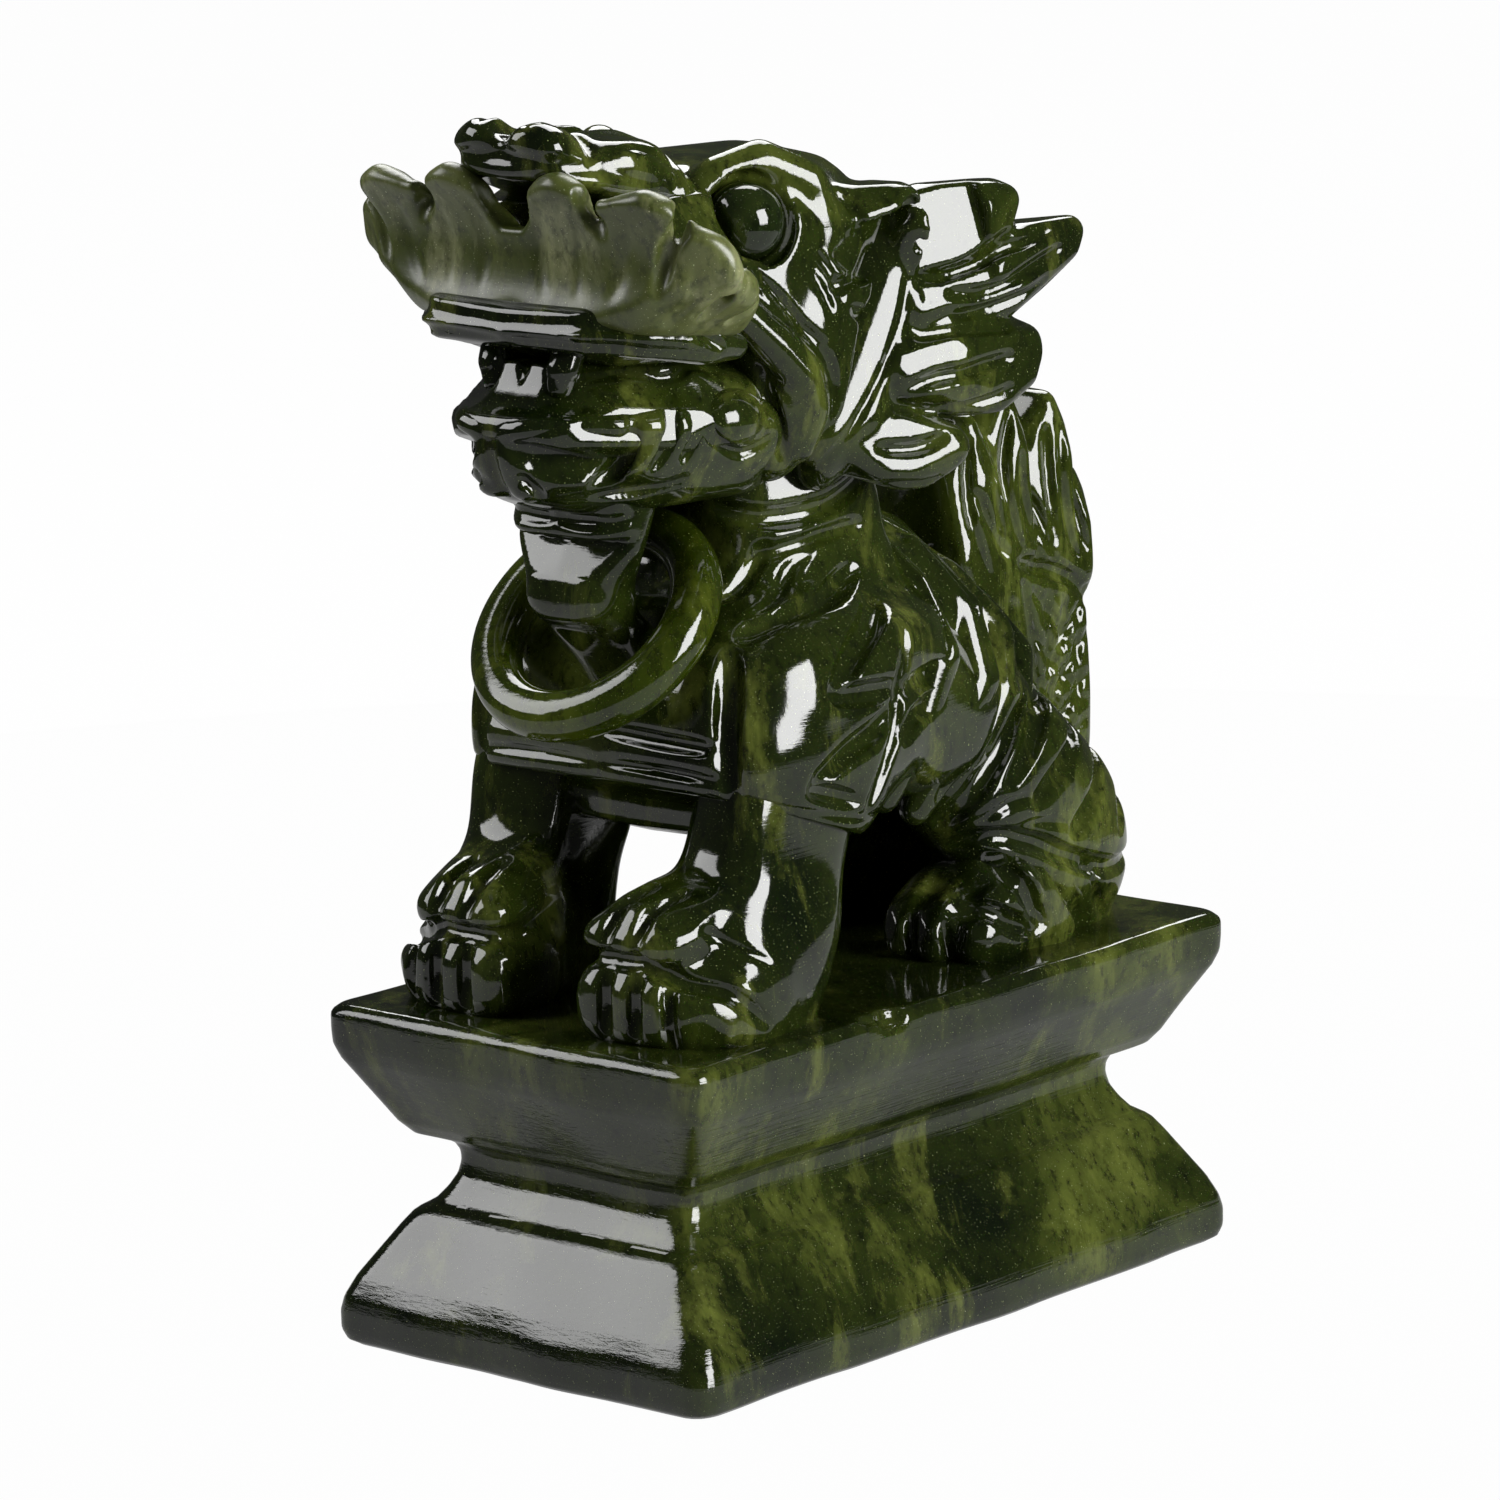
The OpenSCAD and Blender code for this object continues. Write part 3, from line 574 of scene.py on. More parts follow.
def carve_skull():
    clay = Clay((0, -28, 78), (22, 12, 119), symmetric=True)
    clay.add(Span([[7.4, -19, 107, 4.6], [8.6, -12, 108.4, 5.6], [9.4, -4, 105, 5.4], [8, 3, 103, 5],
                   [8, -16, 102, 4], [8.4, 1, 92, 5], [9, -5, 91, 5]], True), 0)
    clay.add(Span([[11.4, -13, 101, 3.4], [13, -5, 102, 3.4], [12.4, -13, 90, 3], [13.4, -9, 92, 3],
            [11, -14, 87, 3]]), 1.5)
    clay.add(Span([[0, -20, 112, 2.6], [0, -2, 111, 2.6], [6, -18, 111.4, 2.6], [7, -2, 109, 2.6]], True),
            2)
    clay.soften(1)
    clay.add(Strand([[7.4, -21, 111.6, 1.4], [8.4, -17.4, 113.6, 2], [10, -13, 114.6, 2.2],
            [12.4, -9, 112.4, 2.2], [13.4, -7.6, 108, 1.8], [13.8, -9, 104, 1.2]]), 1)
    clay.add(Span([[10, -6, 108.4, 3], [13, -3.4, 107.4, 3.2], [16, 2, 109.6, 1.2], [12, 1, 109.8, 1.6]]),
            0.6)
    clay.add(Strand([[12, -22, 104.6, 1.4], [13, -19, 101, 1.9], [14, -16, 98, 2.1], [14.8, -13.4, 95, 2.2],
            [14.8, -12.2, 91.6, 2.1], [13.8, -12.6, 88, 1.8]]), 0.5)
    clay.add(Strand([[12.6, -19, 106, 1.2], [13.4, -15.4, 101.6, 1.2], [14.6, -12, 98.6, 1]]), 0.6)
    clay.soften(0.3)
    clay.cut(Hoop(EYE, EYE_OUT, 4.2, 0.8), 0.2)
    clay.cut(Ball(EYE, 4.0), 0.2)
    clay.cut(Span([[15.4, -8.4, 105.6, 0.4], [16.6, 1.6, 109.4, 0.8], [15.6, -5, 103.6, 0.4],
            [16.6, 2.6, 106, 1.2]]), 0.3)
    for stroke, width, depth in ((([12.4, -9, 115], [14.6, -5.6, 112], [15.4, -5, 107]), 1.2, 0.6),
            (([14, -10.4, 106], [15.4, -9, 103.4], [15.6, -8.6, 101]), 1.2, 0.6), (([14.6, -11.6, 104.6],
            [15.4, -10.4, 102], [15.6, -10, 100.4]), 1.1, 0.5), (([15.6, -9.4, 102.6], [16.4, -6, 103.4],
            [16.6, -2, 105]), 1.6, 0.9), (([16, -7.4, 100.4], [16.4, -5, 98], [16, -7, 90]), 1.4, 0.8),
            (([16.4, -4.4, 101], [16.2, -6, 96], [15.6, -8.4, 89]), 1.2, 0.6), (([16.6, -1.6, 103.6],
            [16.6, -3.4, 99.6], [16.6, -4, 97.4]), 2, 0.7), (([15, -14, 99.4], [16, -10.6, 95.6],
            [16, -10, 91.6], [14.4, -12, 87]), 1.3, 0.8), (([13, -20, 107.4], [14, -16.6, 103.4],
            [15, -13.4, 99.6], [15.6, -10.4, 97.6]), 1.2, 0.6), (([12.4, -17.6, 96.4], [14, -14.6, 94.6]),
            1.2, 0.6), (([0, -2, 114], [0, 6, 108], [0, 8.4, 98], [0, 7, 89]), 2, 0.8), (([3.4, -2, 112.6],
            [4, 6, 107], [3.6, 8.4, 98], [2.8, 7, 89]), 1.8, 0.8), (([7, -1, 111], [8, 5, 106],
            [7.4, 8, 97], [6, 6.6, 88.6]), 1.8, 0.8), (([12.6, -16, 95], [13.4, -15, 91], [13, -14.4, 87]),
            1.6, 0.9)):
        clay.groove(*stroke, width=width, depth=depth)
    clay.soften(0.15)
    return clay


def carve_side_mane():
    """The collar behind the cheek and the four tufts swept back from it, each with long cuts."""
    clay = Clay((4, -16, 78), (25, 26, 116))
    clay.add(Span([[14.6, 1, 107.4, 2.2], [15, -2.4, 96, 2.6], [13, -9, 87, 2.4], [9, 4, 88, 3],
            [9, 6, 104, 3], [12, -8, 84, 1.6]]), 0)
    clay.soften(0.6)
    clay.add(Span([[15.6, 1, 105, 2.6], [18, 1, 108, 1.4], [16.6, 8, 105, 3.2], [19, 12.4, 108.6, 1.6],
            [14.4, 5, 109, 1.8]]), 0.3)
    clay.add(Span([[15.6, 2, 99.6, 3], [17, 10, 102.6, 2.8], [18.4, 13, 100.6, 3], [20, 21, 104.6, 1.6]]),
            0.3)
    clay.add(Span([[15.8, -1, 94, 3], [17.6, 5, 95, 3.4], [18, 7, 91.4, 3], [19.4, 14.6, 94.6, 1.8],
            [19.6, 14, 91.6, 1.6]]), 0.3)
    clay.add(Span([[14, -6, 87.4, 2.6], [16.4, -1, 87, 2.6], [16.6, -1, 84.6, 2.4], [19, 3.2, 86, 2.2]]),
            0.3)
    clay.soften(0.25)
    clay.shave((18.2, 5.4, 106), (0.88, -0.38, 0.28), low=(-60, 1, 100), high=(60, 8.4, 140), blend=0.3)
    for stroke, width, depth in ((([17.6, 1, 102.4], [19.6, 6, 103.2], [21.6, 11.6, 106]), 1.4, 0.8),
            (([17.4, 3, 101.6], [20, 9.6, 103.6], [21.6, 17, 105.4]), 1.4, 0.9), (([17.6, 4, 100],
            [20.6, 10, 101], [22, 18.4, 103.6]), 1.4, 0.9), (([18, 4.6, 98.4], [20.8, 10.6, 98.8],
            [21.8, 16.6, 101]), 1.2, 0.7), (([17.8, 0, 96.6], [20.4, 5, 97.4], [21, 11.4, 96.8]), 1.4, 0.9),
            (([17.6, -1.4, 92.6], [20.4, 4, 93.2], [21.4, 11, 93.8]), 1.6, 1), (([18, 1, 89.6], [20, 6, 90],
            [20.8, 11, 90.8]), 1.2, 0.7), (([16.4, -5, 86.6], [18.6, -1, 86.4], [20.2, 1.8, 87.4]), 1.4,
            0.8), (([16.6, -4, 84.4], [18.2, -1, 83.4], [19.4, 1.6, 83.8]), 1.1, 0.5), (([17.6, 0.6, 109],
            [17.6, -1, 100], [17.4, -5, 93], [15.4, -9.4, 87], [14, -12, 84]), 1, 0.4)):
        clay.groove(*stroke, width=width, depth=depth)
    clay.soften(0.15)
    return clay


def carve_snout():
    clay = Clay((0, -42, 95), (24, -12, 120), symmetric=True)
    clay.add(Span([[7.6, -33.6, 104.6, 2.6], [11.6, -21, 104.6, 2.8], [6.6, -31, 109.4, 2.6],
            [8.6, -20, 110, 3]], True), 0)
    clay.soften(0.6)
    roll = [[0, -36.8, 101.6, 2.2], [9, -36.4, 101.6, 2.3], [12.2, -32.6, 101, 2.3], [14, -26, 99.6, 2.2],
            [14.4, -22.4, 98.8, 1.4]]
    clay.add(Strand(roll), 0.8)
    clay.add(Span([[7, -34, 101, 2.4], [11, -21, 100, 2.6]], True), 1)
    clay.cut(Ball(EYE, 4.4), 0.3)
    clay.soften(0.25)
    clay.groove([-6, -39.5, 102], [6, -39.4, 102.4], [12, -35.5, 102], [15.4, -29, 101.4], width=2.2,
            depth=0.5)
    clay.groove([0, -39.4, 100], [9.5, -39, 100], [14, -33.4, 99.5], [16.4, -25, 98], width=1.6, depth=0.4)
    clay.groove([15.6, -28.6, 101], [16.6, -25.6, 99], width=1.6, depth=0.7)
    return clay


def carve_frill():
    """The broad pale dish round the muzzle: a band, lobes on its rim, a wheel-cut hollow and notches."""
    clay = Clay((0, -42, 98), (25, -16, 120), symmetric=True)
    base = [[0, -35.6, 103.6], [3.6, -35.8, 103.6], [7, -35.6, 103.4], [10, -35.2, 103.2], [12.6, -34, 103],
            [14, -32.4, 102.8], [14.2, -29.6, 102.5], [14, -27, 102.3], [14, -25, 102], [14, -22.6, 101.5]]
    rim = [[0, -36.4, 110], [3.6, -37.2, 113], [6.8, -37.8, 114.2], [10.6, -37.4, 112.6], [14.6, -37, 113],
            [17.8, -35.8, 112.6], [20.2, -33, 109.4], [20.4, -30.6, 107.4], [19.4, -28, 105.4],
            [17, -24, 102.8]]
    for i in range(len(base) - 1):
        clay.add(Span([[*base[i], 1.7], [*base[i + 1], 1.7], [*rim[i], 1.4], [*rim[i + 1], 1.4]]), 1.2)
    clay.add(Span([[12.6, -33.4, 103.6, 1.6], [16.6, -33.2, 105.4, 1.5], [20.4, -32.8, 109, 1.5],
            [16, -34.4, 108, 1.6]]), 0.8)
    clay.soften(0.7)
    clay.add(Span([[4.8, -37.4, 113.6, 1.7], [8.4, -37.4, 113.6, 1.7], [6.6, -37.8, 114.8, 1.6],
            [6.4, -36.4, 108, 1.9]]), 0.9)
    clay.add(Span([[14, -37, 112.8, 1.7], [18, -35.6, 112.4, 1.7], [16.4, -36.8, 113.8, 1.6],
            [15, -35, 107, 1.8]]), 0.8)
    clay.add(Span([[20.4, -33.4, 110, 1.5], [21.6, -31.2, 107.4, 1.5], [21, -32.4, 109.6, 1.5],
            [17.6, -31, 105.4, 1.6]]), 0.7)
    clay.add(Span([[19.8, -28.8, 105.4, 1.5], [19.8, -27, 104.8, 1.4], [20.6, -28, 106.2, 1.1],
            [16.6, -27.5, 103.6, 1.5]]), 0.7)
    clay.add(Span([[17, -24.8, 103, 1.4], [18.4, -25, 104.2, 1.1], [15.6, -24.4, 102.4, 1.4]]), 0.7)
    clay.cut(Strand([[-6, -47.2, 107.6, 10.4], [10, -46.8, 107.4, 10.4], [20, -45.6, 107.2, 10],
            [31, -38.8, 106.6, 9.4], [34, -28, 105.4, 9]]), 0.5)
    clay.soften(0.35)
    clay.cut(Span([[0, -44, 110.8, 0.3], [0, -33.6, 110.8, 0.3], [3.8, -44, 118, 0.3],
            [2.6, -33.6, 118, 0.3], [-5, -44, 118, 0.3]]), 0.2)
    for top, foot, size in (([11, -38.4, 115.6], [10.8, -37.4, 112.2], 0.5), ([20, -35.4, 113.6],
            [18.6, -34.6, 110.4], 0.5), ([22, -30, 108.6], [19.6, -30, 106], 0.4)):
        inner_top, inner_foot = ([q[0] * 0.88, q[1] + 2.6, q[2]] for q in (top, foot))
        clay.cut(Span([[*top, size], [*foot, 0.25], [*inner_top, size], [*inner_foot, 0.25]]), 0.3)
    for stroke, width, depth in ((([9.8, -38, 115.2], [10.4, -38, 113], [11.2, -37.2, 110.6]), 2, 1.2),
            (([19.4, -35.4, 112.6], [17.8, -35.6, 109], [16.4, -35, 105.2]), 2, 1.1), (([21, -29.6, 107.8],
            [19.6, -30.2, 105], [17.4, -30.6, 103]), 1.8, 1), (([20, -26.2, 105.4], [18.4, -26.6, 103.6],
            [17, -26.8, 102.6]), 1.3, 0.7), (([4.4, -38.4, 113.4], [3.4, -37.6, 109], [4, -37.4, 104.6]),
            2.4, 0.35), (([8.8, -38, 112], [8, -37, 108], [8, -37.2, 104.6]), 1.8, 0.25),
            (([14.6, -37, 112], [13, -36, 107.4], [11.6, -36, 104.6]), 2, 0.3), (([19.4, -32.8, 108.4],
            [17, -32.6, 105.4], [15, -32.6, 103.6]), 1.8, 0.3)):
        clay.groove(*stroke, width=width, depth=depth, taper=0.8)
    clay.soften(0.15)
    return clay


def carve_nose_ridge():
    """The scalloped strip round the top of the nose: two humps in front, one more along each side."""
    clay = Clay((0, -41.5, 107), (12, -8, 122.5), symmetric=True)
    clay.add(Span([[4.6, -36.8, 117.4, 1.6], [6.4, -31, 115.8, 1.6], [7.2, -24, 113.4, 1.6],
            [3, -20, 112, 2], [6.6, -19, 110.4, 2]], True), 0)
    clay.add(Span([[2.6, -37.2, 118.8, 1.9], [4.6, -36.6, 118.2, 1.9], [3.6, -33.4, 117.2, 1.8]]), 0.7)
    clay.add(Span([[5.2, -31.4, 116.6, 1.7], [7, -28.6, 116.2, 1.8], [6.6, -25, 115.6, 1.9],
            [4.6, -27, 116, 1.8]]), 0.7)
    clay.add(Strand([[7, -26, 115, 1.9], [8.4, -23, 112.6, 1.7], [9, -20.4, 110.6, 1.2]]), 0.7)
    clay.add(Strand([[0, -14, 112, 2.6], [0, -6, 111, 2.6]]), 1)
    clay.soften(0.5)
    clay.cut(Strand([[0, -42, 122.6, 2.6], [0, -33, 120.4, 2.4], [0, -26, 118.6, 2.2], [0, -18, 116, 2]]),
            0.5)
    clay.groove([-6, -38.6, 117.4], [0, -39, 117.4], [5.5, -38, 117.2], [8, -32, 115.6], [9, -26, 114],
            width=2.2, depth=0.45)
    clay.groove([7.4, -34, 116.6], [5.4, -32.4, 118], [3.2, -31.8, 118.4], width=1.4, depth=0.6)
    clay.groove([9, -24.4, 113.2], [7, -23, 115.4], [5, -22.4, 115.8], width=1.4, depth=0.5)
    clay.groove([2.8, -38.8, 120], [3.4, -36, 120.6], [4.4, -33.4, 119.4], width=1.2, depth=0.35)
    clay.groove([7.6, -30, 117.6], [8.2, -27, 117.2], [8.8, -24, 115], width=1.2, depth=0.35)
    clay.soften(0.15)
    return clay


def carve_lower_jaw():
    clay = Clay((0, -43, 80), (17, -8, 97), symmetric=True)
    clay.add(Span([[3.4, -38.4, 91.2, 2.2], [8.4, -31, 91, 2.6], [11, -16, 90, 3.2],
            [3.6, -36.4, 87.4, 1.8], [9, -15, 86.8, 2.8]], True), 0)
    clay.add(Span([[2.6, -35.6, 86.2, 1.6], [6.4, -28, 85.4, 2], [8.6, -15, 85.6, 2.4]], True), 1.2)
    clay.soften(0.6)
    clay.add(Ball([11.6, -20.6, 91.4], [3.2, 4.4, 3]), 0.5)
    clay.add(Ball([2, -37.6, 86.6], [2, 1.8, 1.5]), 0.4)
    clay.cut(Strand([[3, -42, 90.4, 1.9], [6.2, -40.2, 89.6, 3.2], [9.8, -35.6, 89.2, 3.4],
            [12.2, -32.4, 90.2, 2]]), 0.15)
    clay.soften(0.2)
    clay.groove([9.6, -31.4, 92.6], [9.2, -32.4, 89.4], [7.4, -34.6, 86.2], width=2.2, depth=1.3)
    clay.groove([11.4, -28, 93], [11, -28.6, 90.6], [9.8, -29.6, 88.2], width=1.8, depth=1)
    clay.groove([12, -25.4, 92.8], [12, -25.8, 90.6], [10.8, -26.4, 88.4], width=1.4, depth=0.9)
    clay.groove([11, -24.2, 93.4], [13, -23.6, 90], [13, -19.6, 88], [13.6, -16.4, 89.6], width=1.4,
            depth=0.8)
    clay.groove([6.4, -34, 85.4], [8.6, -30, 85.4], [10.6, -25, 86.6], width=1.6, depth=0.7)
    clay.groove([2.6, -39, 88], [3.4, -37.4, 85.6], width=1.2, depth=0.7)
    clay.groove([0, -39.6, 93], [0, -39.4, 89], [0, -38, 86], width=1.4, depth=0.5)
    clay.ridge([0, -40.4, 92.6], [4.4, -39.8, 92.6], [9, -33.4, 92.2], [11, -29.4, 91.8], radius=1.1,
            height=0.7)
    return clay


def carve_tongue():
    """A ridge with a sharp straight upper edge and sides that slope away from it."""
    clay = Clay((0, -42, 87), (15, -10, 100.5), symmetric=True)
    clay.add(Span([[1.8, -35.8, 97, 0.7], [8.6, -16.4, 95.4, 0.7], [0.8, -39.8, 92.4, 0.9],
            [4.4, -39, 91.8, 0.9], [7, -36.6, 91.2, 0.9], [13, -18.6, 91, 1.2], [9, -16, 91, 2]], True), 0)
    clay.soften(0.15)
    clay.cut(Strand([[-6, -40.8, 98.6, 5.2], [4.4, -40.6, 98.6, 5.2], [12.4, -35, 98.4, 5.8],
            [19, -21.6, 97.4, 6.6]]), 0.2)
    clay.groove([0, -38, 96.8], [0, -30, 98], [0, -16, 97], width=1.6, depth=0.5)
    clay.groove([4.6, -34, 95.6], [8, -26, 94.8], [10.4, -18.6, 94], width=1.2, depth=0.3)
    return clay


def carve_eye():
    clay = Clay((5, -20, 103), (17, -7, 116))
    clay.add(Ball(EYE, 3.75), 0)
    root = np.array(EYE) - 6 * np.array(EYE_OUT)
    clay.add(Strand([[*EYE, 3], [*root, 2.4]]), 0.1)
    return clay


def carve_fang():
    clay = Clay((1, -38, 93), (8, -30, 103))
    clay.add(Strand([[4.8, -33.6, 100.6, 1.4], [4.2, -34.8, 97.4, 1.7], [4, -35.2, 95.6, 1.2]]), 0)
    clay.groove([2.6, -35.8, 99], [3, -36.4, 96.6], width=0.8, depth=0.3)
    return clay


# ------------------------------------------------------------------ ring and its post

def carve_post():
    """The post hangs from the chin with a rounded lower end, then runs back into the chest."""
    clay = Clay((0, -37, 60), (10, -14, 90), symmetric=True)
    clay.add(Span([[2.6, -21, 65, 2.4], [2.6, -26, 71.4, 2.2], [2.4, -27.6, 72, 2]], True), 0)
    clay.add(Span([[3.2, -29.6, 75, 1.6], [3.2, -26.4, 77, 1.6], [4.4, -29.6, 82, 1.6],
            [4.4, -26.4, 82, 1.6], [5.6, -30, 86, 1.8], [5.6, -26, 86, 1.8]], True), 1)
    clay.add(Span([[2.6, -29.4, 74.4, 2.6], [2.4, -27.4, 74, 2.8]], True), 0.8)
    clay.soften(0.6)
    clay.shave((0, -30.9, 78.6), (0.1, -0.88, 0.46), low=(-60, -60, 77), high=(60, 60, 80.6), blend=0.6)
    clay.groove([0, -31.6, 82.4], [3.6, -31.4, 82.4], [6, -29, 83], width=1.8, depth=0.7)
    clay.soften(0.15)
    return clay


def carve_ring():
    low, high = (np.array(c, float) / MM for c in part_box("loose_ring"))
    centre = (low + high) / 2
    outer = (high[0] - low[0]) / 2
    section = 2.4
    lean = math.radians(45)
    normal = (0, -math.sin(lean), math.cos(lean))
    clay = Clay(low - 1, high + 1)
    x, y, z = clay.grid()
    px, py, pz = x - centre[0], y - centre[1], z - centre[2]
    h = py * normal[1] + pz * normal[2]
    r = np.sqrt(np.maximum(px * px + py * py + pz * pz - h * h, 0))
    a, b = np.abs(r - (outer - section)), np.abs(h)
    round_edge = 2.15
    qa, qb = a - section + round_edge, b - section + round_edge
    outside = np.sqrt(np.maximum(qa, 0) ** 2 + np.maximum(qb, 0) ** 2)
    d = outside + np.minimum(np.maximum(qa, qb), 0) - round_edge
    clay.d = d.astype(np.float32)
    return clay

# ------------------------------------------------------------------ jade


def jade(name, dark, mid, pale, mottle=0.5, streak=0.5, gloss=0.06, depth=0.08, scratches=0.12):
    """Polished nephrite: cloudy dark green with pale mottles and streaks, fine specks and a clear gloss."""
    material = bpy.data.materials.new(name)
    material.use_nodes = True
    tree = material.node_tree
    nodes, links = tree.nodes, tree.links
    shader = nodes["Principled BSDF"]
    place = nodes.new("ShaderNodeTexCoord")

    def scaled(x, y, z):
        mapping = nodes.new("ShaderNodeMapping")
        mapping.inputs["Scale"].default_value = (x, y, z)
        mapping.inputs["Rotation"].default_value = (0.12, -0.1, 0.3)
        links.new(place.outputs["Object"], mapping.inputs["Vector"])
        return mapping.outputs["Vector"]

    def noise(vector, scale, detail, roughness, distortion=0.0):
        node = nodes.new("ShaderNodeTexNoise")
        node.inputs["Scale"].default_value = scale
        node.inputs["Detail"].default_value = detail
        node.inputs["Roughness"].default_value = roughness
        node.inputs["Distortion"].default_value = distortion
        links.new(vector, node.inputs["Vector"])
        return node.outputs["Fac"]

    def ramp(value, *stops):
        node = nodes.new("ShaderNodeValToRGB")
        points = node.color_ramp.elements
        while len(points) < len(stops):
            points.new(0.5)
        for point, (at, shade) in zip(points, stops):
            point.position = at
            point.color = (shade, shade, shade, 1) if isinstance(shade, (int, float)) else (*shade, 1)
        links.new(value, node.inputs["Fac"])
        return node.outputs["Color"]

    def mix(a, b, factor):
        node = nodes.new("ShaderNodeMix")
        node.data_type = "RGBA"
        links.new(factor, node.inputs["Factor"])
        for socket, value in ((node.inputs["A"], a), (node.inputs["B"], b)):
            if isinstance(value, tuple):
                socket.default_value = (*value, 1)
            else:
                links.new(value, socket)
        return node.outputs["Result"]

    clouds = noise(scaled(1, 1, 0.8), scale=38, detail=5, roughness=0.6, distortion=0.6)
    stripes = noise(scaled(1, 1, 0.28), scale=130, detail=6, roughness=0.66, distortion=0.4)
    grain = noise(scaled(1, 1, 0.7), scale=900, detail=4, roughness=0.7)
    specks = noise(scaled(1, 1, 1), scale=6200, detail=2, roughness=0.5)
    colour = mix(dark, mid, ramp(clouds, (0.36, 0.0), (0.7, 1.0)))
    colour = mix(colour, pale, ramp(clouds, (0.56, 0.0), (0.56 + 0.2 / max(mottle, 0.05), 1.0)))
    colour = mix(colour, pale, ramp(stripes, (0.53, 0.0), (0.53 + 0.17 / max(streak, 0.05), 1.0)))
    colour = mix(colour, tuple(0.35 * c for c in dark), ramp(grain, (0.3, 0.75), (0.5, 0.0)))
    colour = mix(colour, tuple(1.6 * c + 0.16 for c in pale), ramp(specks, (0.69, 0.0), (0.76, 0.8)))
    links.new(colour, shader.inputs["Base Color"])
    links.new(ramp(grain, (0.3, gloss + 0.02), (0.7, gloss)), shader.inputs["Roughness"])

    waves = nodes.new("ShaderNodeBump")
    waves.inputs["Strength"].default_value = 0.065
    waves.inputs["Distance"].default_value = 0.0006
    links.new(noise(scaled(1, 1, 1), 170, 2, 0.5), waves.inputs["Height"])
    pits = nodes.new("ShaderNodeBump")
    pits.inputs["Strength"].default_value = 0.12
    pits.inputs["Distance"].default_value = 0.00008
    links.new(grain, pits.inputs["Height"])
    links.new(waves.outputs["Normal"], pits.inputs["Normal"])
    lines = nodes.new("ShaderNodeBump")
    lines.inputs["Strength"].default_value = scratches
    lines.inputs["Distance"].default_value = 0.00006
    links.new(noise(scaled(0.5, 0.06, 2.4), 1500, 3, 0.6, 0.3), lines.inputs["Height"])
    links.new(pits.outputs["Normal"], lines.inputs["Normal"])
    links.new(lines.outputs["Normal"], shader.inputs["Normal"])

    shader.inputs["Specular IOR Level"].default_value = 0.5
    shader.inputs["IOR"].default_value = 1.62
    shader.inputs["Subsurface Weight"].default_value = depth
    shader.inputs["Subsurface Radius"].default_value = (0.4, 1.0, 0.2)
    shader.inputs["Subsurface Scale"].default_value = 0.002
    return material


body_jade = jade("carved_jade", (0.003, 0.006, 0.001), (0.03, 0.044, 0.005), (0.17, 0.2, 0.035), mottle=0.4,
        streak=0.6)
tail_jade = jade("tail_jade", (0.016, 0.024, 0.002), (0.055, 0.075, 0.008), (0.2, 0.24, 0.045), mottle=0.5,
        streak=0.7)
frill_jade = jade("frill_jade", (0.05, 0.066, 0.008), (0.19, 0.21, 0.07), (0.46, 0.47, 0.26), mottle=1.0,
        streak=0.5, gloss=0.32)
block_jade = jade("pedestal_jade", (0.003, 0.006, 0.001), (0.028, 0.04, 0.005), (0.14, 0.165, 0.03),
        mottle=0.5, streak=0.6, scratches=0.5)
ring_jade = jade("ring_jade", (0.014, 0.022, 0.001), (0.036, 0.055, 0.002), (0.15, 0.18, 0.02), mottle=0.3,
        streak=0.35)
eye_jade = jade("eye_jade", (0.003, 0.006, 0.001), (0.014, 0.024, 0.004), (0.06, 0.08, 0.016), mottle=0.2,
        streak=0.2, gloss=0.04)

# ------------------------------------------------------------------ the pieces

pedestal_part("pedestal_foot_carved", 0, foot_top + 0.6, "pedestal_foot")
pedestal_part("pedestal_waist_carved", foot_top, waist_top + 0.8, "pedestal_waist")
pedestal_part("pedestal_plate_carved", waist_top, plate_top, "pedestal_plate")


def middle(name, carve, *nodes, material=body_jade):
    """A carving that lies across the middle plane."""
    piece(name, carve().mesh(name), "carved_jade", material, *nodes)


def two_sides(name, carve, *nodes, material=body_jade, slot="carved_jade"):
    """The same carving on the left and on the right, standing for the nodes of that side."""
    left, right = "left_" + name, "right_" + name
    mesh = carve().mesh(left)
    piece(left, mesh, slot, material, *("left_" + n for n in nodes))
    piece(right, mirrored(mesh, right), slot, material, *("right_" + n for n in nodes))


middle("torso_carved", carve_torso, "torso", "neck")
two_sides("foreleg_carved", carve_foreleg, "foreleg", "forepaw")
two_sides("haunch_carved", carve_haunch, "haunch")
two_sides("hind_paw_carved", carve_hind_paw, "hind_paw")
middle("back_mane_carved", carve_back_mane, "back_mane")
middle("tail_carved", carve_tail, "tail_base", "tail_flames", material=tail_jade)
middle("skull_carved", carve_skull, "skull", "left_cheek", "right_cheek", "left_ear", "right_ear")
two_sides("side_mane_carved", carve_side_mane, "side_mane")
middle("muzzle_carved", carve_snout, "snout")
middle("lip_frill_carved", carve_frill, "upper_lip_frill", material=frill_jade)
middle("nose_ridge_carved", carve_nose_ridge, "nose_ridge")
middle("lower_jaw_carved", carve_lower_jaw, "lower_jaw")
middle("tongue_carved", carve_tongue, "tongue")
two_sides("eyeball", carve_eye, "eye", material=eye_jade, slot="eye_jade")
two_sides("fang_carved", carve_fang, "fang")
middle("ring_post_carved", carve_post, "ring_post")
ring_mesh = carve_ring().mesh("loose_ring_carved")
piece("loose_ring_carved", ring_mesh, "ring_jade", ring_jade, "loose_ring", body="ring")

# ------------------------------------------------------------------ camera, floor and light

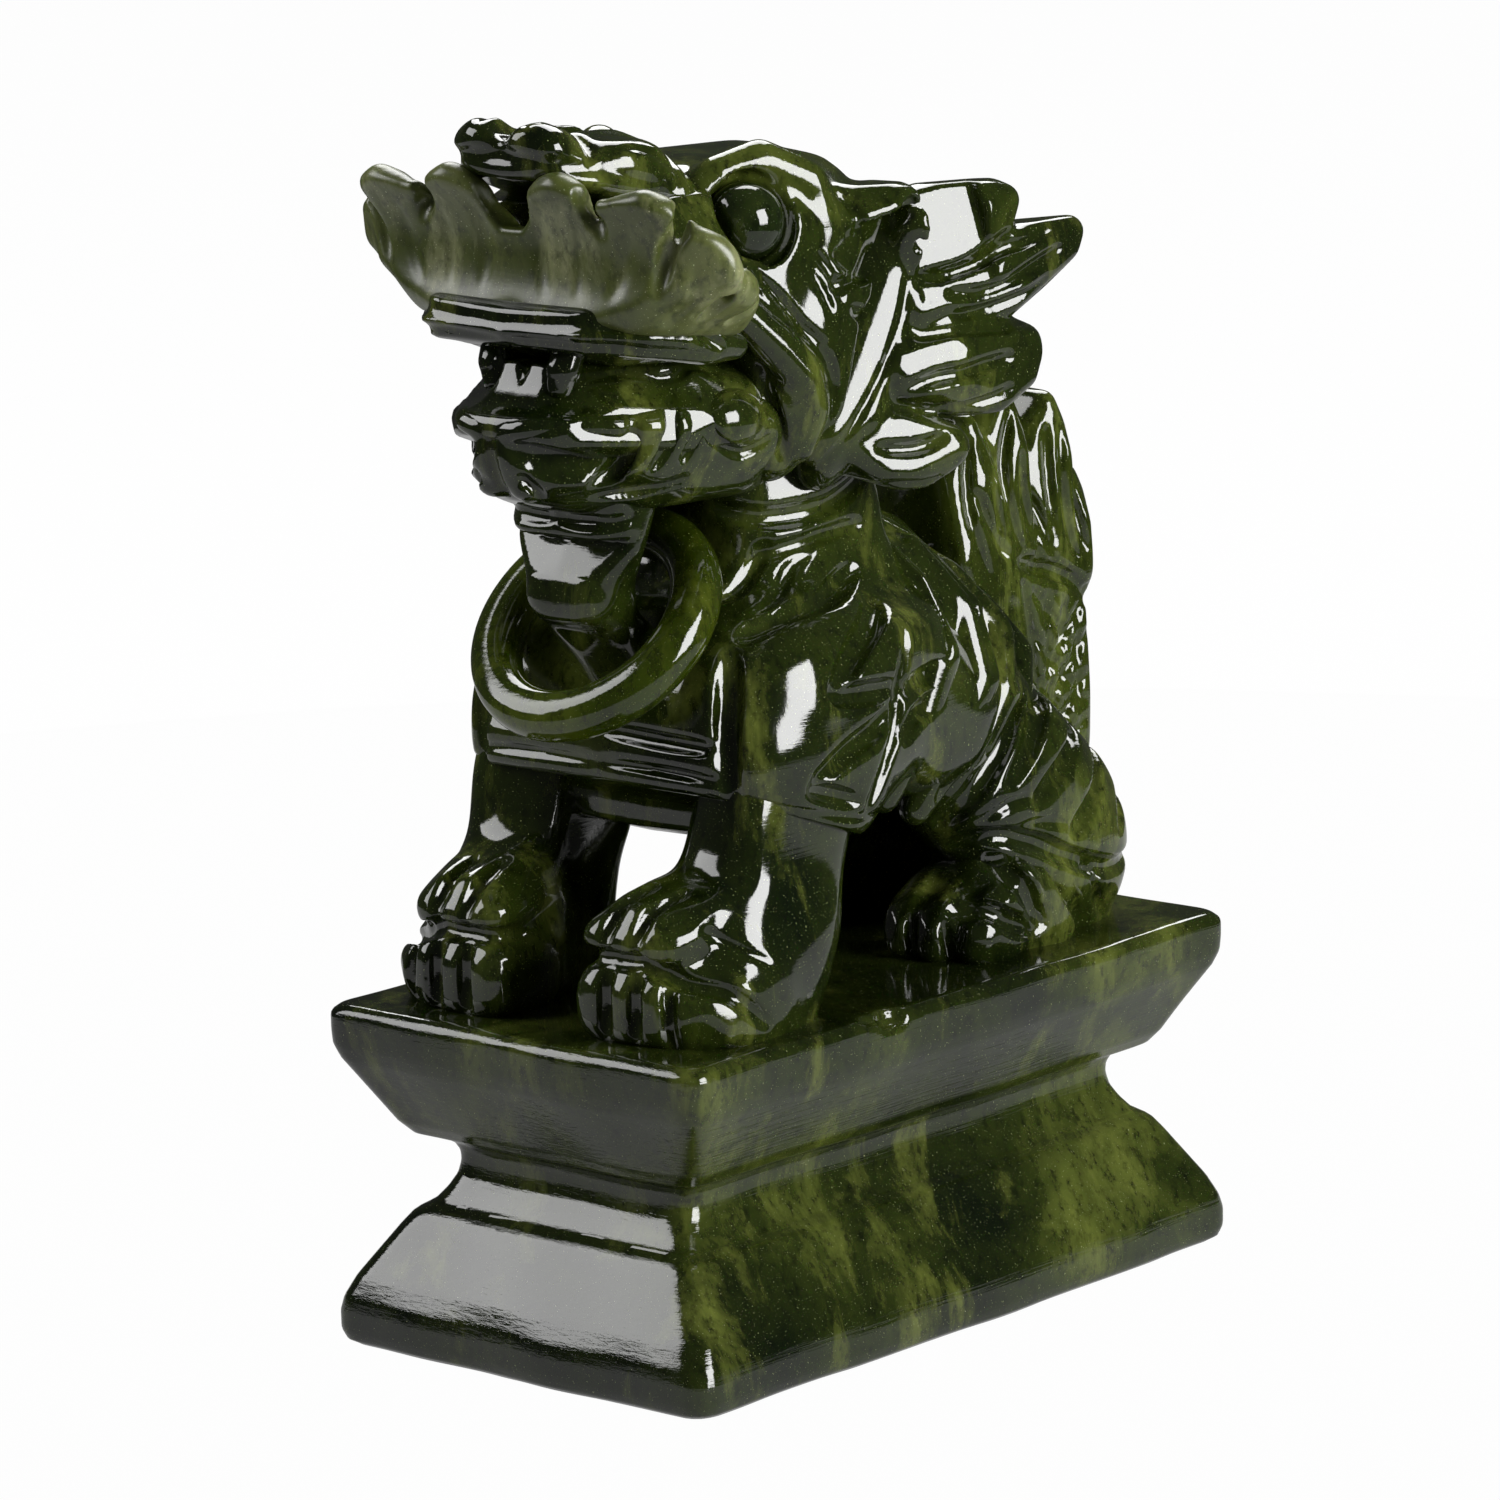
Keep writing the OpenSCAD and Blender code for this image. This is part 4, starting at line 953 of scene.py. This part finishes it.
AZIMUTH, ELEVATION, ROLL = (math.radians(a) for a in (40.57, 11.91, -1.236))
AIM = Vector((-3.77, 0, 54.15)) * MM
DISTANCE = 0.8019                       # from the camera to the point it looks at, in metres
level = Vector((math.sin(AZIMUTH), -math.cos(AZIMUTH), 0))
back = level * math.cos(ELEVATION) + Vector((0, 0, math.sin(ELEVATION)))
right = Vector((math.cos(AZIMUTH), math.sin(AZIMUTH), 0))
up = back.cross(right)
right, up = right * math.cos(ROLL) + up * math.sin(ROLL), up * math.cos(ROLL) - right * math.sin(ROLL)

lens = bpy.data.cameras.new("camera")
lens.sensor_width = 36
lens.lens = 196.8
lens.clip_start, lens.clip_end = 0.05, 20
camera = bpy.data.objects.new("camera", lens)
turned = Matrix((right, up, back)).transposed().to_4x4()
camera.matrix_world = Matrix.Translation(AIM + back * DISTANCE) @ turned
bpy.context.scene.collection.objects.link(camera)
bpy.context.scene.camera = camera


def glowing(name, shade, glow):
    material = bpy.data.materials.new(name)
    material.use_nodes = True
    shader = material.node_tree.nodes["Principled BSDF"]
    shader.inputs["Base Color"].default_value = (shade, shade, shade, 1)
    shader.inputs["Roughness"].default_value = 0.9
    shader.inputs["Specular IOR Level"].default_value = 0.1
    shader.inputs["Emission Color"].default_value = (1, 1, 1, 1)
    shader.inputs["Emission Strength"].default_value = glow
    return material


def sheet(name, points, height, material):
    """A flat part of the studio, which isn't part of the object."""
    mesh = bpy.data.meshes.new(name)
    mesh.from_pydata([(x, y, height) for x, y in points], [], [tuple(range(len(points)))])
    ob = bpy.data.objects.new(name, mesh)
    ob.data.materials.append(material)
    bpy.context.scene.collection.objects.link(ob)
    return ob


def studio_floor():
    """A small glowing disc that only shows in the gloss, and a wide pale floor that only the camera sees."""
    reach, steps = 0.3, 48
    turns = [2 * math.pi * i / steps for i in range(steps)]
    disc = [(reach * math.cos(a), reach * math.sin(a)) for a in turns]
    table = sheet("table", disc, 0, glowing("pale_table", 0.06, 0.42))
    table.visible_camera = False
    far, drop = 4, 0.0004
    square = [(-far, -far), (far, -far), (far, far), (-far, far)]
    wide = sheet("floor", square, -drop, glowing("pale_floor", 0.0, 0.98))
    wide.visible_glossy = wide.visible_diffuse = wide.visible_transmission = wide.visible_shadow = False


def softbox(name, direction, distance, width, height, power):
    """A large soft lamp at a distance in a direction from the object, facing it."""
    data = bpy.data.lights.new(name, "AREA")
    data.shape = "RECTANGLE"
    data.size, data.size_y = width, height
    data.energy = power
    ob = bpy.data.objects.new(name, data)
    towards = Vector(direction).normalized()
    centre = Vector((0, 0, 0.06))
    ob.location = centre + towards * distance
    ob.rotation_euler = towards.to_track_quat("Z", "Y").to_euler()
    bpy.context.scene.collection.objects.link(ob)


studio_floor()
softbox("left_front_softbox", (-0.64, -0.55, 0.54), 0.9, 0.5, 0.6, 4.5)
softbox("right_softbox", (0.95, 0.1, 0.3), 0.9, 0.45, 0.6, 11)
softbox("overhead_softbox", (-0.42, 0.56, 0.71), 1.0, 0.6, 0.6, 7.5)

world = bpy.data.worlds.new("studio")
world.use_nodes = True
world.node_tree.nodes["Background"].inputs["Color"].default_value = (1, 1, 1, 1)
world.node_tree.nodes["Background"].inputs["Strength"].default_value = 0.04
bpy.context.scene.world = world
bpy.context.scene.view_settings.view_transform = "Standard"
